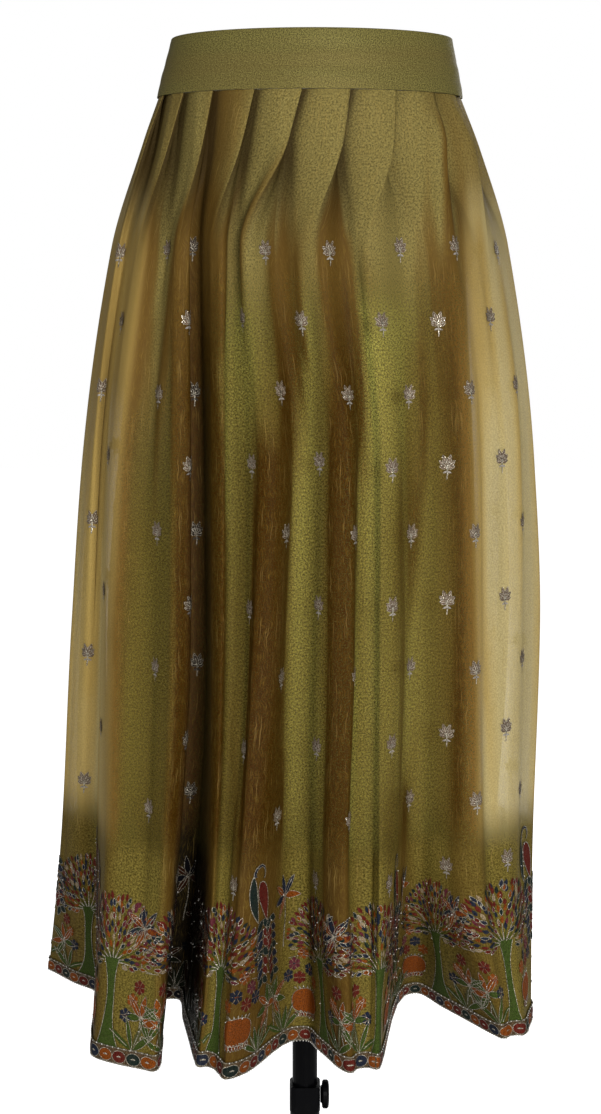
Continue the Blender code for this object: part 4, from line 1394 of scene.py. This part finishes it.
def glints(cloth, places, beads, name, seed):
    """Small near-white beads caught here and there on the silver edges of the motifs: painted glints."""
    draw = random.Random(seed)
    spots = []
    for motif, way, z, measure in places:
        silver_faces = (face for face, silk_name in zip(motif.faces, motif.silks) if silk_name == "silver")
        edges = sorted({v for face in silver_faces for v in face})
        for v in draw.sample(edges, len(edges) // POINTS_TO_A_GLINT):
            x, y = motif.points[v][:2]
            spots.append((cloth.column_at(measure, way + x), z + y))
    column, height = np.array(spots).T
    bead_set(name, cloth.at(height, column, np.full(len(column), 1.7 * MM)), 0.55 * MM, beads)


# The stand and the form


def dress_stand(worn, woven):
    metal = stand_black("satin black tube", worn, 0.36, 0.0)
    plastic = stand_black("matt black moulding", worn, 0.5, 0.0)
    for node, material in (
        ("pole", metal), ("lower_tube", metal), ("base", metal), ("collar", plastic),
        ("collar_knob", plastic), ("form", jersey(woven)),
    ):
        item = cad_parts[node]
        item.data.materials.clear()
        item.data.materials.append(material)
        item.data.polygons.foreach_set("use_smooth", [True] * len(item.data.polygons))
        rounded_edge = item.modifiers.new("soft edges", "BEVEL")
        rounded_edge.width = 0.6 * MM
        rounded_edge.segments = 2
        rounded_edge.limit_method = "ANGLE"
        rounded_edge.angle_limit = math.radians(40)
        rounded_edge.harden_normals = True


# Room, lights and camera

Softbox = namedtuple("Softbox", "name place aim size power")
SOFTBOXES = (
    Softbox("key softbox", (0.8, -3.2, 1.5), (0, 0, 0.85), 0.9, 92),
    Softbox("fill softbox", (-2.2, -1.8, 1.4), (0, 0, 0.9), 1.4, 10),
    Softbox("back softbox", (0.6, 2.4, 2.0), (0, 0, 1.0), 1.8, 26),
)
ROOM_LIGHT = 0.22
FLOOR_GLOW = 0.9
EYE = (-0.0048, -2.20, 1.16)
LOOKING_DOWN = 7.46
LENS_MM, SENSOR_MM = 67.1, 36.0


def seen_or_not(tree, unseen, seen):
    """One value where the camera looks straight at the surface, another for the light it gives."""
    ray = put(tree, "ShaderNodeLightPath").outputs["Is Camera Ray"]
    inputs = {"Value": ray, "To Min": unseen, "To Max": seen}
    return put(tree, "ShaderNodeMapRange", inputs).outputs["Result"]


def studio():
    mesh = bpy.data.meshes.new("floor")
    mesh.from_pydata([(-9, -7, 0), (9, -7, 0), (9, 11, 0), (-9, 11, 0)], [], [(0, 1, 2, 3)])
    floor = bpy.data.objects.new("floor", mesh)
    bpy.context.scene.collection.objects.link(floor)
    material, tree, surface = new_material("pale floor", 0.9)
    surface.inputs["Base Color"].default_value = (0.9, 0.9, 0.9, 1)
    surface.inputs["Emission Color"].default_value = (1, 1, 1, 1)
    tree.links.new(seen_or_not(tree, 0.0, FLOOR_GLOW), surface.inputs["Emission Strength"])
    mesh.materials.append(material)
    world = bpy.data.worlds.new("pale room")
    bpy.context.scene.world = world
    world.use_nodes = True
    room = world.node_tree
    background = room.nodes["Background"]
    background.inputs["Color"].default_value = (1, 1, 1, 1)
    room.links.new(seen_or_not(room, ROOM_LIGHT, 1.0), background.inputs["Strength"])
    for box in SOFTBOXES:
        light = bpy.data.lights.new(box.name, "AREA")
        light.size, light.energy = box.size, box.power
        lamp = bpy.data.objects.new(box.name, light)
        bpy.context.scene.collection.objects.link(lamp)
        lamp.location = box.place
        x, y, z = np.array(box.place) - np.array(box.aim)
        lamp.rotation_euler = (math.atan2(math.hypot(x, y), z), 0, math.atan2(x, -y))


def camera():
    lens = bpy.data.cameras.new("camera")
    lens.lens, lens.sensor_width = LENS_MM, SENSOR_MM
    lens.clip_start, lens.clip_end = 0.05, 60
    holder = bpy.data.objects.new("camera", lens)
    bpy.context.scene.collection.objects.link(holder)
    holder.location = EYE
    holder.rotation_euler = (math.radians(90 - LOOKING_DOWN), 0, 0)
    bpy.context.scene.camera = holder
    bpy.context.scene.view_settings.view_transform = "Standard"


def main():
    woven, stitched, worn = woven_effect(), stitched_effect(), worn_effect()
    cloth = Cloth()
    sheer, ground = organza(woven), trim_ground(woven)
    silks = {"silver": silver_cord(stitched, "silver zari", SILVER)}
    edging = silver_cord(stitched, "tarnished zari", TARNISHED_SILVER)
    silks.update({name: silk(name, colour, stitched) for name, colour in SILKS.items()})
    beads = glass_bead_with_painted_glint(stitched)
    waistband(band_tissue(woven))
    lining_panels(lining_tissue(woven))
    for half in ("front", "back"):
        skirt_panel(cloth, half, sheer)
    for half in ("front", "back"):
        trim_band(cloth, half, ground)
        laid_motifs(f"sprigs_{half}", cloth, sprig_places(cloth, half), silks)
        border = border_places(cloth, half)
        laid_motifs(f"border_{half}", cloth, border, silks)
        glints(cloth, border, beads, f"border_glints_{half}", 3 if half == "front" else 4)
        laid_motifs(f"trim_ovals_{half}", cloth, trim_places(cloth, half), silks)
    hem_cords(cloth, edging, beads)
    dress_stand(worn, woven)
    studio()
    camera()


main()
